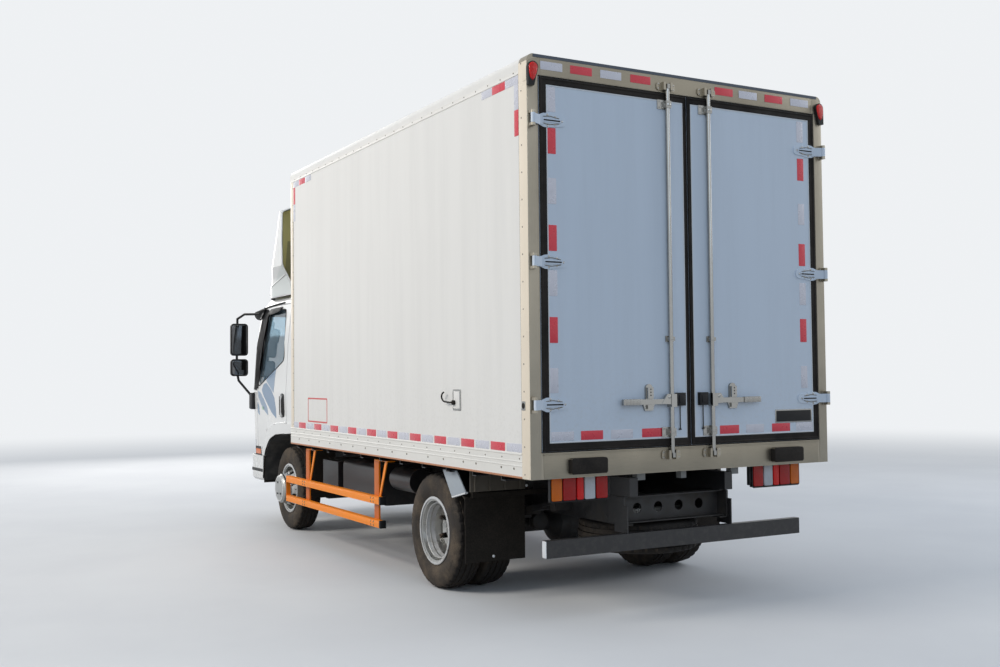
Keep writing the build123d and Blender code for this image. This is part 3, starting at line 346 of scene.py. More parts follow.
# The CAD nodes of each finish; * stands for left and for right
FINISH = {
    "chassis_paint": "frame_rails cross_members cab_arms leaf_springs front_axle rear_axle knuckle_*",
    "cast_iron": "powertrain",
    "tank_paint": "fuel_tank battery_box floor_beams underride_bar",
    "bright_steel": "exhaust lock_gear_*",
    "tyre_rubber": "spare_tyre front_tyre_* rear_tyres_*",
    "rim_silver": "spare_wheel front_wheel_* rear_wheels_*",
    "skirt_paint": "body_floor",
    "panel_white": "body_side_* body_front body_roof",
    # the doors take the darker, bluer copy of the panel white: painted shade
    "door_white": "rear_door_*",
    "stainless": "rear_frame",
    "unit_paint": "cooling_unit",
    "orange_paint": "side_guards",
    "sheet_rubber": "mudguards",
    "cab_paint": "front_bumper cab_front cab_roof cab_rear roof_fairing cab_door_*",
    "floor_mat": "cab_floor",
    "window_glass": "cab_glass door_glass_*",
    "lens_clear": "headlamps",
    "seat_cloth": "seats",
    "dash_plastic": "dashboard",
    "black_plastic": "mirrors steering_wheel rear_lamps",
}


def dress_nodes():
    """Every CAD node gets its procedural finish."""
    for key, names in FINISH.items():
        for name in names.split():
            for side in ("left", "right") if "*" in name else ("",):
                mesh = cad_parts[name.replace("*", side)].data
                mesh.materials.clear()
                mesh.materials.append(materials[key])


# Stage
BACKDROP = (0.86, 0.88, 0.90)
FLOOR_REACH = 60.0
# lamp name, place, aim, size, power, colour
LAMPS = (("key", (16.0, -0.5, 11.5), (0.6, 0.4, 1.4), 7.0, 2080.0, (1.0, 0.955, 0.885)),
         ("fill", (3.0, 13.0, 6.0), (0.0, 1.5, 1.4), 6.0, 150.0, (0.62, 0.80, 1.0)),
         ("right", (-9.0, 3.0, 6.0), (0.0, 0.0, 1.5), 6.0, 300.0, (0.95, 0.97, 1.0)),
         ("front", (0.0, -11.0, 5.0), (0.0, -2.0, 1.5), 6.0, 350.0, (1.0, 0.98, 0.95)))


def make_floor():
    """A pale floor that fades into the backdrop far from the truck, for what is seen or mirrored only."""
    mesh = bpy.data.meshes.new("floor")
    corners = [(x * FLOOR_REACH, y * FLOOR_REACH, 0) for x, y in ((-1, -1), (1, -1), (1, 1), (-1, 1))]
    mesh.from_pydata(corners, [], [(0, 1, 2, 3)])
    floor = bpy.data.objects.new("floor", mesh)
    bpy.context.scene.collection.objects.link(floor)
    s = Shader("floor", (0.66, 0.66, 0.66), 0.9)
    distance = s.node("ShaderNodeVectorMath", {0: s.place}, operation="LENGTH").outputs["Value"]
    seen = s.seen()
    pale = s.mix(s.ramp(s.noise(0.6, 4.0), 0.3, 0.7), (0.64, 0.64, 0.645), (0.68, 0.68, 0.68))
    # the light that it throws back up is that of a darker yard
    s.set("Base Color", s.mix(seen, (0.30, 0.29, 0.275), pale))
    glow = s.node("ShaderNodeEmission", {"Color": BACKDROP}).outputs[0]
    far = s.maths("MULTIPLY", s.ramp(distance, 6.0, 22.0), seen)
    s.link(s.blend(far, s.bsdf.outputs[0], glow), s.tree.nodes["Material Output"].inputs["Surface"])
    mesh.materials.append(s.material)


def make_light():
    """Soft lamps, and a dim blue sky that shows as a pale backdrop."""
    world = bpy.data.worlds.new("sky")
    world.use_nodes = True
    bpy.context.scene.world = world
    sky = Nodes(world.node_tree)
    sky.tree.nodes.clear()
    light = sky.node("ShaderNodeBackground", {"Color": (0.72, 0.84, 1.0), "Strength": 0.50}).outputs[0]
    backdrop = sky.node("ShaderNodeBackground", {"Color": BACKDROP, "Strength": 1.0}).outputs[0]
    sky.node("ShaderNodeOutputWorld", {0: sky.blend(sky.seen(), light, backdrop)})

    for name, place_at, aim, size, power, colour in LAMPS:
        data = bpy.data.lights.new(name, "AREA")
        data.energy, data.color, data.size = power, colour, size
        lamp = bpy.data.objects.new(name, data)
        lamp.location = place_at
        lamp.rotation_euler = (Vector(aim) - Vector(place_at)).to_track_quat("-Z", "Y").to_euler()
        bpy.context.scene.collection.objects.link(lamp)


# Outlines and paths: every size from here on is in millimetres, and Maker.done turns a piece into metres
def turns(count, start=0.0):
    """Angles of a full turn in equal steps."""
    return [start + 2 * pi * n / count for n in range(count)]


def circle(centre, across, up, radius, count):
    return [centre + radius * (cos(turn) * across + sin(turn) * up) for turn in turns(count)]


def rect(u0, u1, v0, v1):
    return [(u0, v0), (u1, v0), (u1, v1), (u0, v1)]


def rounded(u0, u1, v0, v1, r, steps=4):
    """Outline of a rectangle with round corners, as (u, v) points."""
    (u0, u1), (v0, v1) = sorted((u0, u1)), sorted((v0, v1))
    points = []
    for cu, cv, start in ((u1 - r, v1 - r, 0), (u0 + r, v1 - r, 90), (u0 + r, v0 + r, 180), (u1 - r, v0 + r, 270)):
        for n in range(steps + 1):
            turn = radians(start + 90 * n / steps)
            points.append((cu + r * cos(turn), cv + r * sin(turn)))
    return points


def inset(outline, by):
    """The outline moved inward by a distance, corner by corner."""
    area = sum(a[0] * b[1] - b[0] * a[1] for a, b in zip(outline, outline[1:] + outline[:1]))
    sign = 1.0 if area > 0 else -1.0
    moved = []
    for before, at, after in zip(outline[-1:] + outline, outline, outline[1:] + outline[:1]):
        a, b = (Vector(at) - Vector(before)).normalized(), (Vector(after) - Vector(at)).normalized()
        both = Vector((-a.y - b.y, a.x + b.x)) * sign
        moved.append(tuple(Vector(at) + both * by * 2.0 / max(0.6, both.length_squared)))
    return moved


def place(axis, u, v, along):
    """A point from its two outline coordinates and its place along the axis."""
    return {"x": (along, u, v), "y": (u, along, v), "z": (u, v, along)}[axis]


def round_off(before, corner, after, radius, steps, share=0.45, even=True):
    """The points of a curve in a corner's place. It cuts off no more than a share of each line."""
    before, corner, after = Vector(before), Vector(corner), Vector(after)
    cuts = [min(radius, (end - corner).length * share) for end in (before, after)]
    if even:
        cuts = [min(cuts)] * 2
    start, end = (corner + (p - corner).normalized() * cut for p, cut in zip((before, after), cuts))
    shares = [n / steps for n in range(steps + 1)]
    return [start * (1 - t) ** 2 + corner * 2 * t * (1 - t) + end * t * t for t in shares]


def bent(points, radius, steps=5):
    """A path with its corners rounded."""
    path = [Vector(points[0])]
    for corner in zip(points, points[1:], points[2:]):
        path += round_off(*corner, radius, steps)
    return path + [Vector(points[-1])]


def soft_corners(outline, radius, steps=4):
    """A closed outline with its corners rounded."""
    outline = list(outline)
    points = []
    for corner in zip(outline[-1:] + outline, outline, outline[1:] + outline[:1]):
        points += [tuple(p) for p in round_off(*corner, radius, steps)]
    return points


def spread(points, step):
    """More points along a line, at most about a step apart."""
    out = []
    for a, b in zip(points, points[1:]):
        a, b = Vector(a), Vector(b)
        count = max(1, int((b - a).length / step))
        out += [a + (b - a) * n / count for n in range(count)]
    return out + [Vector(points[-1])]


class Maker:
    """Gathers the parts of one piece. A part has the piece's own finish unless it names another."""

    def __init__(self, name, finish):
        self.name, self.finishes, self.bm = name, [finish], bmesh.new()

    def paint_faces(self, faces, finish):
        finish = finish or self.finishes[0]
        if finish not in self.finishes:
            self.finishes.append(finish)
        for face in faces:
            face.material_index = self.finishes.index(finish)

    def loft(self, rings, finish=None, ends=True, closed=True, cyclic=False):
        """Skin through rings of equal count: closed joins a ring's own ends, cyclic the last ring to the first."""
        rows = [[self.bm.verts.new(p) for p in ring] for ring in rings]
        count = len(rows[0])
        faces = [self.bm.faces.new((a[n], a[(n + 1) % count], b[(n + 1) % count], b[n]))
                 for a, b in zip(rows, rows[1:] + rows[:1] * cyclic)
                 for n in range(count if closed else count - 1)]
        if ends:
            faces += [self.bm.faces.new(rows[0]), self.bm.faces.new(rows[-1])]
        self.paint_faces(faces, finish)
        return faces

    def pad(self, outline, axis, base, top, finish=None, r=1.0, crown=0.0):
        """An outline raised from base to top, its upper rim rounded, and crowned a little towards the middle."""
        rise = 1.0 if top > base else -1.0
        levels = [(0.0, base)]
        for turn in (0, 30, 60, 90):
            levels.append((r * (1 - cos(radians(turn))), top - rise * r * (1 - sin(radians(turn)))))
        if crown:
            levels += [(r + crown * step * 1.5, top + rise * crown * (1 - (1 - step / 3) ** 2)) for step in (1, 2, 3)]
        self.loft([[place(axis, u, v, level) for u, v in (inset(outline, by) if by else outline)]
                   for by, level in levels], finish)

    def block(self, x, y, z, finish=None, r=1.5, face="y"):
        """A block with its rim rounded towards one face: x, y and z are pairs, and the pair along face runs
        from the hidden end to the seen one."""
        u, v, w = {"x": (y, z, x), "y": (x, z, y), "z": (x, y, z)}[face]
        self.pad(rect(*sorted(u), *sorted(v)), face, *w, finish, r)

    def strip(self, profile, axis, low, high, finish=None):
        """A profile carried along an axis."""
        self.loft([[place(axis, u, v, w) for u, v in profile] for w in (low, high)], finish)

    def turned(self, profile, centre, axis, finish=None, steps=48, shape=None):
        """A closed profile of (along, radius) points turned about a line through centre."""
        rings = []
        for k, (along, radius) in enumerate(profile):
            radii = [shape(k, n, radius) if shape else radius for n in range(steps)]
            rings.append([Vector(centre) + Vector(place(axis, r * cos(turn), r * sin(turn), along))
                          for r, turn in zip(radii, turns(steps))])
        self.loft(rings, finish, ends=False, cyclic=True)

    def tube(self, path, radius, finish=None, sides=12):
        """A round bar along a path, with one radius or one for each point."""
        path = [Vector(p) for p in path]
        radii = radius if isinstance(radius, list) else [radius] * len(path)
        across = (path[1] - path[0]).normalized().orthogonal().normalized()
        rings = []
        for before, point, after, size in zip(path[:1] + path, path, path[1:] + path[-1:], radii):
            ahead = (after - before).normalized()
            across = (across - ahead * across.dot(ahead)).normalized()
            rings.append(circle(point, across, ahead.cross(across), size, sides))
        self.loft(rings, finish)

    def domes(self, centres, out, radius, height, finish=None, sides=10):
        """Rivet or bolt heads on a face whose outward direction is given."""
        out = Vector(out).normalized()
        across = out.orthogonal().normalized()
        for centre in centres:
            self.loft([circle(Vector(centre) + out * height * lift, across, out.cross(across), radius * share, sides)
                       for share, lift in ((1.0, -0.3), (1.0, 0.25), (0.86, 0.62), (0.5, 0.93), (0.12, 1.0))], finish)

    def hexagons(self, centres, out, radius, height, finish=None):
        """Hexagon nuts with their washers."""
        self.domes(centres, out, radius * 1.35, height * 0.25, finish, 16)
        self.domes(centres, out, radius, height, finish, 6)

    def band(self, inner, outer, axis, base, section, finish=None):
        """A frame between two outlines of equal count, with a section of (share from inner to outer, height)."""
        self.loft([[place(axis, a[0] + (b[0] - a[0]) * share, a[1] + (b[1] - a[1]) * share, base + height)
                    for a, b in zip(inner, outer)] for share, height in section], finish, ends=False, cyclic=True)

    def drape(self, outline, side, lift, finish=None, cell=70.0, depth=3.0, skin=None):
        """A patch laid on a side surface: a (y, z) outline cut in cells and pushed onto it."""
        skin = skin or cab_skin
        sheet = bmesh.new()
        sheet.faces.new([sheet.verts.new((0, u, v)) for u, v in outline])
        for axis in (1, 2):
            low, high = (limit(p[axis - 1] for p in outline) for limit in (min, max))
            count = int((high - low) / cell)
            for n in range(1, count + 1):
                at, normal = [0, 0, 0], [0, 0, 0]
                at[axis], normal[axis] = low + (high - low) * n / (count + 1), 1
                bmesh.ops.bisect_plane(sheet, geom=sheet.verts[:] + sheet.edges[:] + sheet.faces[:],
                                       plane_co=at, plane_no=normal, dist=0.01)
        for vert in sheet.verts:
            vert.co.x = side * (skin(vert.co.y, vert.co.z, side) + lift)
        rim = bmesh.ops.extrude_edge_only(sheet, edges=[e for e in sheet.edges if e.is_boundary])["geom"]
        for vert in (g for g in rim if isinstance(g, bmesh.types.BMVert)):
            vert.co.x -= side * depth
        sheet.verts.index_update()
        verts = [self.bm.verts.new(v.co) for v in sheet.verts]
        bmesh.ops.recalc_face_normals(sheet, faces=sheet.faces)
        self.paint_faces([self.bm.faces.new([verts[v.index] for v in face.verts]) for face in sheet.faces], finish)
        sheet.free()

    def done(self, body, replaces=(), angle=35.0, slot=None):
        """Makes the object, in metres, riding on its body."""
        bmesh.ops.recalc_face_normals(self.bm, faces=self.bm.faces)
        bmesh.ops.scale(self.bm, vec=(0.001, 0.001, 0.001), verts=self.bm.verts)
        mesh = bpy.data.meshes.new(self.name)
        self.bm.to_mesh(mesh)
        self.bm.free()
        for key in self.finishes:
            mesh.materials.append(materials[key])
        for face in mesh.polygons:
            face.use_smooth = True
        mesh.set_sharp_from_angle(angle=radians(angle))
        piece = bpy.data.objects.new(self.name, mesh)
        bpy.context.scene.collection.objects.link(piece)
        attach(piece, body)
        if replaces:
            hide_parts(*replaces)
        return piece


# Surfaces of the CAD nodes that trim is laid on
# the side's height and distance from the middle, where a ray finds no panel
SIDE_TABLE = ((660, 963), (1290, 980), (1760, 955), (2040, 922), (2140, 900), (2200, 868), (2240, 790))
SKIN_INNER = 0.7        # metres from the middle: a hit further in is past an opening


def surface(*nodes):
    """The shapes of some nodes as one searchable surface, in metres."""
    verts, faces = [], []
    for name in nodes:
        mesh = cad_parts[name].data
        faces += [[len(verts) + i for i in p.vertices] for p in mesh.polygons]
        verts += [v.co.copy() for v in mesh.vertices]
    return BVHTree.FromPolygons(verts, faces)


def side_skin(*nodes):
    """A function that gives the surface's distance from the middle at a (y, z) place on one side."""
    tree = surface(*nodes)

    def skin(y, z, side):
        hit = tree.ray_cast(Vector((side * 3.0, y / 1000, z / 1000)), Vector((-side, 0, 0)))[0]
        if hit is not None and side * hit.x > SKIN_INNER:
            return side * hit.x * 1000
        for (z0, half0), (z1, half1) in zip(SIDE_TABLE, SIDE_TABLE[1:]):
            if z <= z1:
                return half0 + (half1 - half0) * max(0.0, z - z0) / (z1 - z0)
        return SIDE_TABLE[-1][1]
    return skin


def front_line(x, z):
    """The cab front's y at a place seen from ahead."""
    hit = front_tree.ray_cast(Vector((x / 1000, -4.0, z / 1000)), Vector((0, 1, 0)))[0]
    return hit.y * 1000 if hit is not None else -2900.0


def on_front(points, lift):
    """An (x, z) line laid on the cab's front."""
    return [(p[0], front_line(p[0], p[1]) - lift, p[1]) for p in points]


def on_side(points, side, lift, skin=None):
    """A (y, z) line laid on a side surface."""
    return [(side * ((skin or cab_skin)(y, z, side) + lift), y, z) for y, z in points]


# Places that several pieces share
SIDES = ((1, "left"), (-1, "right"))
REARWARD = (0, 1, 0)
REAR_Y, FRONT_Y, SIDE_X, POST_Y = 2942.0, -1206.0, 1130.0, 2849.0
HINGES = (1262, 2070, 2878)
LOCK_BAR_X = 157
FRONT_AXLE, REAR_AXLE, AXLE_Z = -1887.0, 1473.0, 387.5

# Marking tape. Each mark: u from, u to, z from, z to, silver
CORNER_MARKS = ((2402, 2533, 3098, 3147, 1), (2535, 2690, 3098, 3147, 0), (2692, 2844, 3098, 3147, 1),
                (2796, 2844, 2950, 3098, 1), (2796, 2844, 2800, 2950, 0), (-812, -662, 3098, 3147, 1),
                (-969, -814, 3098, 3147, 0), (-1121, -971, 3098, 3147, 1), (-1121, -1073, 2948, 3098, 0),
                (-1121, -1073, 2798, 2948, 1))
HEADER_MARKS = ((894, 1042, 3168, 3216, 1), (690, 840, 3168, 3216, 0), (481, 631, 3168, 3216, 1),
                (267, 415, 3168, 3216, 0), (-375, -229, 3168, 3216, 0), (-574, -424, 3168, 3216, 1),
                (-790, -640, 3168, 3216, 0), (-1016, -860, 3168, 3216, 1))
DOOR_MARKS = {"left": ((945, 1000, 2930, 3075, 1), (945, 1000, 2689, 2838, 0), (945, 1000, 2402, 2551, 1),
                       (945, 1000, 2134, 2282, 0), (945, 1000, 1877, 2025, 1), (945, 1000, 1611, 1758, 0),
                       (945, 1000, 1328, 1469, 1), (845, 998, 1056, 1108, 1), (645, 797, 1056, 1108, 0),
                       (433, 589, 1056, 1108, 1), (220, 367, 1056, 1108, 0)),
              "right": ((-962, -907, 2931, 3069, 1), (-962, -907, 2680, 2825, 0), (-962, -907, 2391, 2529, 1),
                        (-962, -907, 2122, 2266, 0), (-962, -907, 1868, 2011, 1), (-962, -907, 1627, 1777, 0),
                        (-962, -907, 1329, 1472, 1), (-378, -225, 1056, 1108, 0), (-583, -435, 1056, 1108, 1),
                        (-803, -650, 1056, 1108, 0), (-1003, -854, 1056, 1108, 1))}
LOW_MARKS = 21          # in the row along each side


def lay_marks(m, marks, axis, base, top):
    for u0, u1, z0, z1, silver in marks:
        m.pad(rounded(u0, u1, z0, z1, 3, 2), axis, base, top, "tape_silver" if silver else "tape_red", 0.5)


def make_tapes():
    """Red and silver marking tape: a row low on each side, corners at the top, the rear header and the doors."""
    m = Maker("side_tapes", "tape_red")
    pitch = (POST_Y - FRONT_Y - 12) / LOW_MARKS
    ends = [POST_Y - 2 - n * pitch for n in range(LOW_MARKS)]
    low = tuple((y - pitch + 15, y - 5, 992, 1041, n % 2 == 0) for n, y in enumerate(ends))
    for side, _ in SIDES:
        lay_marks(m, low + CORNER_MARKS, "x", side * (SIDE_X - 1), side * (SIDE_X + 1.2))
    lay_marks(m, HEADER_MARKS, "y", REAR_Y, REAR_Y + 3.2)
    m.done("chassis")
    for _, name in SIDES:
        m = Maker("door_tapes_" + name, "tape_red")
        lay_marks(m, DOOR_MARKS[name], "y", REAR_Y + 2, REAR_Y + 4.2)
        m.done("rear_door_" + name)


def make_door_seal(side, name):
    """The lipped rubber round a rear door and the pale strip inside it."""
    m = Maker("door_seal_" + name, "gasket_rubber")
    strip_in, strip_out = rect(side * 37, side * 1000, 1052, 3076), rect(side * 29, side * 1008, 1044, 3084)
    m.band(strip_out, rect(side * 3.5, side * 1053, 998, 3127), "y", REAR_Y,
           ((0, -1), (0, 5), (0.1, 8), (0.35, 6), (0.62, 5), (0.72, 9), (0.9, 8), (1, 3), (1, -1)))
    m.band(strip_in, strip_out, "y", REAR_Y + 2,
           ((0, 0), (0, 2.2), (0.15, 3.4), (0.85, 3.4), (1, 2.2), (1, 0)), "edge_strip")
    m.done("rear_door_" + name)


def make_door_hardware(side, name):
    """Hinge screws, the lock bar's fittings, handle and latch, and the right door's bare plate."""
    m = Maker("door_hardware_" + name, "bright_steel")
    # x, height over the hinge
    screws = ((1003, 31), (1003, -31), (950, 22), (950, -22), (905, 0), (1041, 20), (1041, -20))
    for z in HINGES:
        m.domes([(side * x, REAR_Y + 9, z + up) for x, up in screws], REARWARD, 6.5, 3.0, sides=12)
        # painted shade: a dark rubber line across each hinge strap's middle and dark steel lines along its edges,
        # standing for the shade round the chrome strap and its rib
        m.pad(rounded(side * 918, side * 1030, z - 4, z + 4, 3.5, 3), "y", REAR_Y + 12, REAR_Y + 14, "gasket_rubber",
              0.8)
        for up in (-1, 1):
            m.tube([(side * 1036, REAR_Y + 10.5, z + up * 19), (side * 985, REAR_Y + 11, z + up * 24),
                    (side * 925, REAR_Y + 11, z + up * 15)], 2.2, "dull_bolt", 6)
            m.domes([(side * 1112, REAR_Y + 34, z + up * 27.9)], (0, 0, up), 11, 3, sides=14)
    # bolts of the guides, which reach to the truck's left on both doors, and rings round the bar
    bar = side * LOCK_BAR_X
    m.domes([(bar + x, REAR_Y + 10, z) for z in (3039, 3075, 1062, 1102) for x in (30, 54, -24)], REARWARD, 5.5, 3.5)
    for z in (3057, 1640, 1082):
        m.turned([(-7, 13.6), (-7, 19), (-5, 21), (5, 21), (7, 19), (7, 13.6)], (bar, REAR_Y + 22, z), "z", None, 28)
    # handle: grip ribs along its outer half, its pivot, screws of the catch
    for n in range(12):
        x = 400 + n * 10.4
        m.block((side * x, side * (x + 5)), (REAR_Y + 40, REAR_Y + 46.5), (1248, 1284), r=1.2)
    m.domes([(side * 190, REAR_Y + 43, 1292)], REARWARD, 10, 4, sides=16)
    m.domes([(side * 320, REAR_Y + 32, z) for z in (1340, 1322, 1304)], REARWARD, 5, 2.5, "gasket_rubber")
    m.domes([(side * x, REAR_Y + 16.5, 1234) for x in (294, 347)], REARWARD, 5.5, 3)
    # latch block with its pull rod
    m.block((side * 54, side * 120), (REAR_Y + 4, REAR_Y + 30), (1238, 1316), "black_plastic", 6)
    m.block((side * 66, side * 108), (REAR_Y + 28, REAR_Y + 36), (1252, 1300), "black_plastic", 5)
    m.tube([(side * 88, REAR_Y + 12, 1240), (side * 88, REAR_Y + 12, 1096)], 3.2, "black_plastic", 8)
    m.tube([(side * 80, REAR_Y + 10, 1096), (side * 96, REAR_Y + 10, 1096)], 4.5, "black_plastic", 8)
    if name == "right":
        m.pad(rounded(-992, -678, 1110, 1195, 5), "y", REAR_Y + 2, REAR_Y + 5.5)
        m.pad(rounded(-984, -686, 1118, 1187, 4), "y", REAR_Y + 5, REAR_Y + 6.5, "black_plastic", 0.8)
    m.done("rear_door_" + name)


def make_rear_frame_trim():
    """Cover plates of the rear frame, keeper bolts, and the side covers and joints of the corner posts."""
    m = Maker("rear_covers", "stainless")
    cover = ("y", REAR_Y - 1, REAR_Y + 1.6)
    m.pad(rect(-1043, 1043, 3137, 3238), *cover, "stainless_lying", 0.8)
    m.pad(rect(-1046, 1046, 847, 989), *cover, "stainless_lying", 0.8)
    # folded step under the doors and the cap along the top edge
    m.strip([(REAR_Y - 4, 976), (REAR_Y + 7, 978), (REAR_Y + 7, 984), (REAR_Y - 4, 986)], "x", -1046, 1046,
            "stainless_lying")
    m.strip([(REAR_Y - 60, 3248), (REAR_Y - 60, 3252.6), (REAR_Y + 1, 3252.6), (REAR_Y + 3, 3250), (REAR_Y + 3, 3234),
             (REAR_Y - 1, 3234)], "x", -1090, 1090, "roof_edge")
    for side, _ in SIDES:
        out = (side, 0, 0)
        m.pad(rounded(side * 1062, side * 1129.4, 846, 3133, 2, 2), *cover, r=0.8)
        m.pad([(side * 1046, 3137), (side * 1127, 3137), (side * 1127, 3214), (side * 1046, 3236)], *cover,
              "stainless_lying", 0.8)
        m.domes([(side * 1096, REAR_Y + 6, z + up) for z in HINGES for up in (-34, 34)], REARWARD, 5, 3, "bright_steel")
        m.domes([(side * LOCK_BAR_X + x, REAR_Y + 9, z) for x in (-56, 56) for z in (3156, 3182, 932, 962)],
                REARWARD, 5.5, 3.5, "bright_steel")
        # painted covers beside the corner posts and the marker lamp, and the matching strip at the front corner
        for outline, lift, r in ((rect(POST_Y, REAR_Y - 1, 846, 3210), 2.2, 1.0),
                                 (rect(REAR_Y - 43, REAR_Y - 1, 3096, 3176), 4.2, 1.0),
                                 (rect(FRONT_Y + 14, FRONT_Y + 84, 978, 3150), 1.6, 0.8)):
            m.pad(outline, "x", side * 1129, side * (SIDE_X + lift), "corner_white", r)
        m.domes([(side * (SIDE_X + 2), 2879, 871 + n * 155.5) for n in range(16)], out, 5.2, 2.2, "dull_bolt")
        m.domes([(side * (SIDE_X + 1.4), FRONT_Y + 76, 1020 + n * 148) for n in range(15)], out, 4.8, 2.0, "dull_bolt")
        # dark joint lines
        for y in (POST_Y - 2, FRONT_Y + 87):
            m.strip(rect(y - 1.6, y + 1.6, 1044, 3150), "x", side * 1129, side * (SIDE_X + 0.9), "gasket_rubber")
    m.done("chassis")

    # rubber buffers on the sill, and door stops on the corner posts: a flat button on a small plate
    m = Maker("buffers", "gasket_rubber")
    for side, _ in SIDES:
        m.pad(rounded(side * 637, side * 883, 865, 955, 9, 1), "y", REAR_Y + 1, REAR_Y + 42, r=5)
        for x in (680, 840):
            m.turned([(0, 0.1), (0, 11), (-2, 13), (-3, 13), (-3, 0.1)], (side * x, REAR_Y + 43, 910), "y", None, 20)
        m.pad(rounded(2852, 2892, 1232, 1284, 6), "x", side * 1131, side * 1135, "bright_steel")
        m.turned([(0, 0.1), (0, 18), (side * 1.5, 17), (side * 2.6, 13), (side * 3, 0.1)], (side * 1134, 2872, 1258),
                 "x", None, 20)
    m.done("chassis")


SKIRT = ((1127, 990), (1134, 990), (1135.5, 987.5), (1135.5, 980), (1131.5, 977.5), (1131.5, 945), (1133.6, 943),
         (1133.6, 938), (1131.2, 936), (1131.2, 919), (1133.6, 917), (1133.6, 912), (1131.2, 910), (1131.2, 856),
         (1127, 856))
SKIRT_LIP = ((1126, 857), (1132.6, 856.5), (1133.4, 853), (1133.4, 847), (1131, 844.5), (1126, 846.5))
ROOF_LIP = ((1128, 3150), (1133, 3150), (1133, 3156), (1130.6, 3160), (1130.6, 3178), (1128, 3180))
SKIRT_BOLTS = (2754, 2605, 2290, 2120, 1840, 1610, 1270, 1020, 760, 520, 270, 20, -230, -480, -730, -980)


def make_side_trim():
    """Skirt extrusion with its lips, rivets and bolts, door holders and the bare label places."""
    m = Maker("skirt_trim", "skirt_paint")
    for side, _ in SIDES:
        for section, start, finish in ((SKIRT, 2, None), (SKIRT_LIP, 2, "rust_lip"), (ROOF_LIP, 20, None)):
            m.strip([(side * x, z) for x, z in section], "y", FRONT_Y + start, POST_Y - 1, finish)
        out = (side, 0, 0)
        m.domes([(side * 1131.5, 2818 - n * 204, 958) for n in range(20)], out, 5.0, 2.2, "dull_bolt")
        m.domes([(side * 1131, y, 897) for y in SKIRT_BOLTS], out, 7.5, 3.4, "dull_bolt")
        m.domes([(side * 1130.6, 2790 - n * 155, 3169) for n in range(26)], out, 4.6, 2.2, "dull_bolt")
    m.done("chassis")

    m = Maker("side_fittings", "bright_steel")
    for side, _ in SIDES:
        # door holder: plate, spring and a hook to the rear
        m.pad(rounded(1985, 2095, 1212, 1345, 8), "x", side * 1129, side * 1134, r=1.5)
        m.pad(rounded(1999, 2081, 1224, 1333, 7), "x", side * 1133, side * 1135.5, "panel_white")
        hook = [(side * 1136, 2000, 1262), (side * 1150, 1960, 1262), (side * 1158, 1900, 1268),
                (side * 1158, 1872, 1290), (side * 1158, 1880, 1316), (side * 1158, 1905, 1326)]
        m.tube(bent(hook, 18, 4), 5.2, "gasket_rubber", 10)
        m.turned([(0, 5), (0, 15), (side * 16, 15), (side * 20, 11), (side * 20, 5)], (side * 1134, 2012, 1262), "x",
                 "gasket_rubber", 22)
        m.domes([(side * 1134, y, z) for y in (1997, 2083) for z in (1226, 1331)], (side, 0, 0), 4.5, 2.5)
        # bare place of a label in a red line
        m.band(rounded(-744, -304, 1064, 1244, 6), rounded(-756, -292, 1052, 1256, 10), "x", side * SIDE_X,
               [(share, side * lift) for share, lift in ((0, -0.5), (0, 0.9), (1, 0.9), (1, -0.5))], "label_red")
    m.done("chassis")


# Chambers of a rear lamp: from, to (from its outer end), finish
CHAMBERS = ((0, 74, "lens_amber"), (78, 168, "lens_red"), (172, 222, "lens_bright"), (226, 302, "lens_clear"),
            (306, 390, "lens_red"))
# lower half of the marker lamp's drop, as (x, z)
DROP = ((1071, 3168), (1077, 3140), (1090, 3106), (1104, 3092), (1120, 3104), (1128, 3136), (1129.5, 3168))


def make_lamps():
    """Lenses of the rear lamps and the marker lamps at the posts' tops."""
    m = Maker("rear_lenses", "black_plastic")
    for side, _ in SIDES:
        for x0, x1, finish in CHAMBERS:
            m.pad(rounded(side * (948 - x0), side * (952 - x1), 707, 837, 10, 3), "y", 2855, 2867, finish, 4)
        m.band(rounded(side * 560, side * 950, 704, 840, 10, 3), rounded(side * 553, side * 957, 697, 843, 14, 3), "y",
               2856, ((0, 0), (0, 5), (0.5, 7), (1, 4), (1, 0)))
        m.block((side * 536, side * 560), (2830, 2852), (716, 842), r=3)
        m.hexagons([(side * 546, 2852, z) for z in (742, 800)], REARWARD, 8, 6)
        arc = [(1100 + 29.5 * cos(radians(turn)), 3168 + 30 * sin(radians(turn))) for turn in range(20, 180, 20)]
        m.pad([(side * x, z) for x, z in (*DROP, *arc)], "y", 2960, 2970, "lens_bright", 7)
    m.done("chassis")


# Cab trim. Outlines and lines on the side are (y, z)
WINDOW = ((-2676, 1334), (-2478, 2082), (-1962, 2082), (-1892, 1592))
WINDOW_FRAME = ((-2712, 1318), (-2704, 1345), (-2516, 2094), (-2474, 2092), (-2672, 1318))
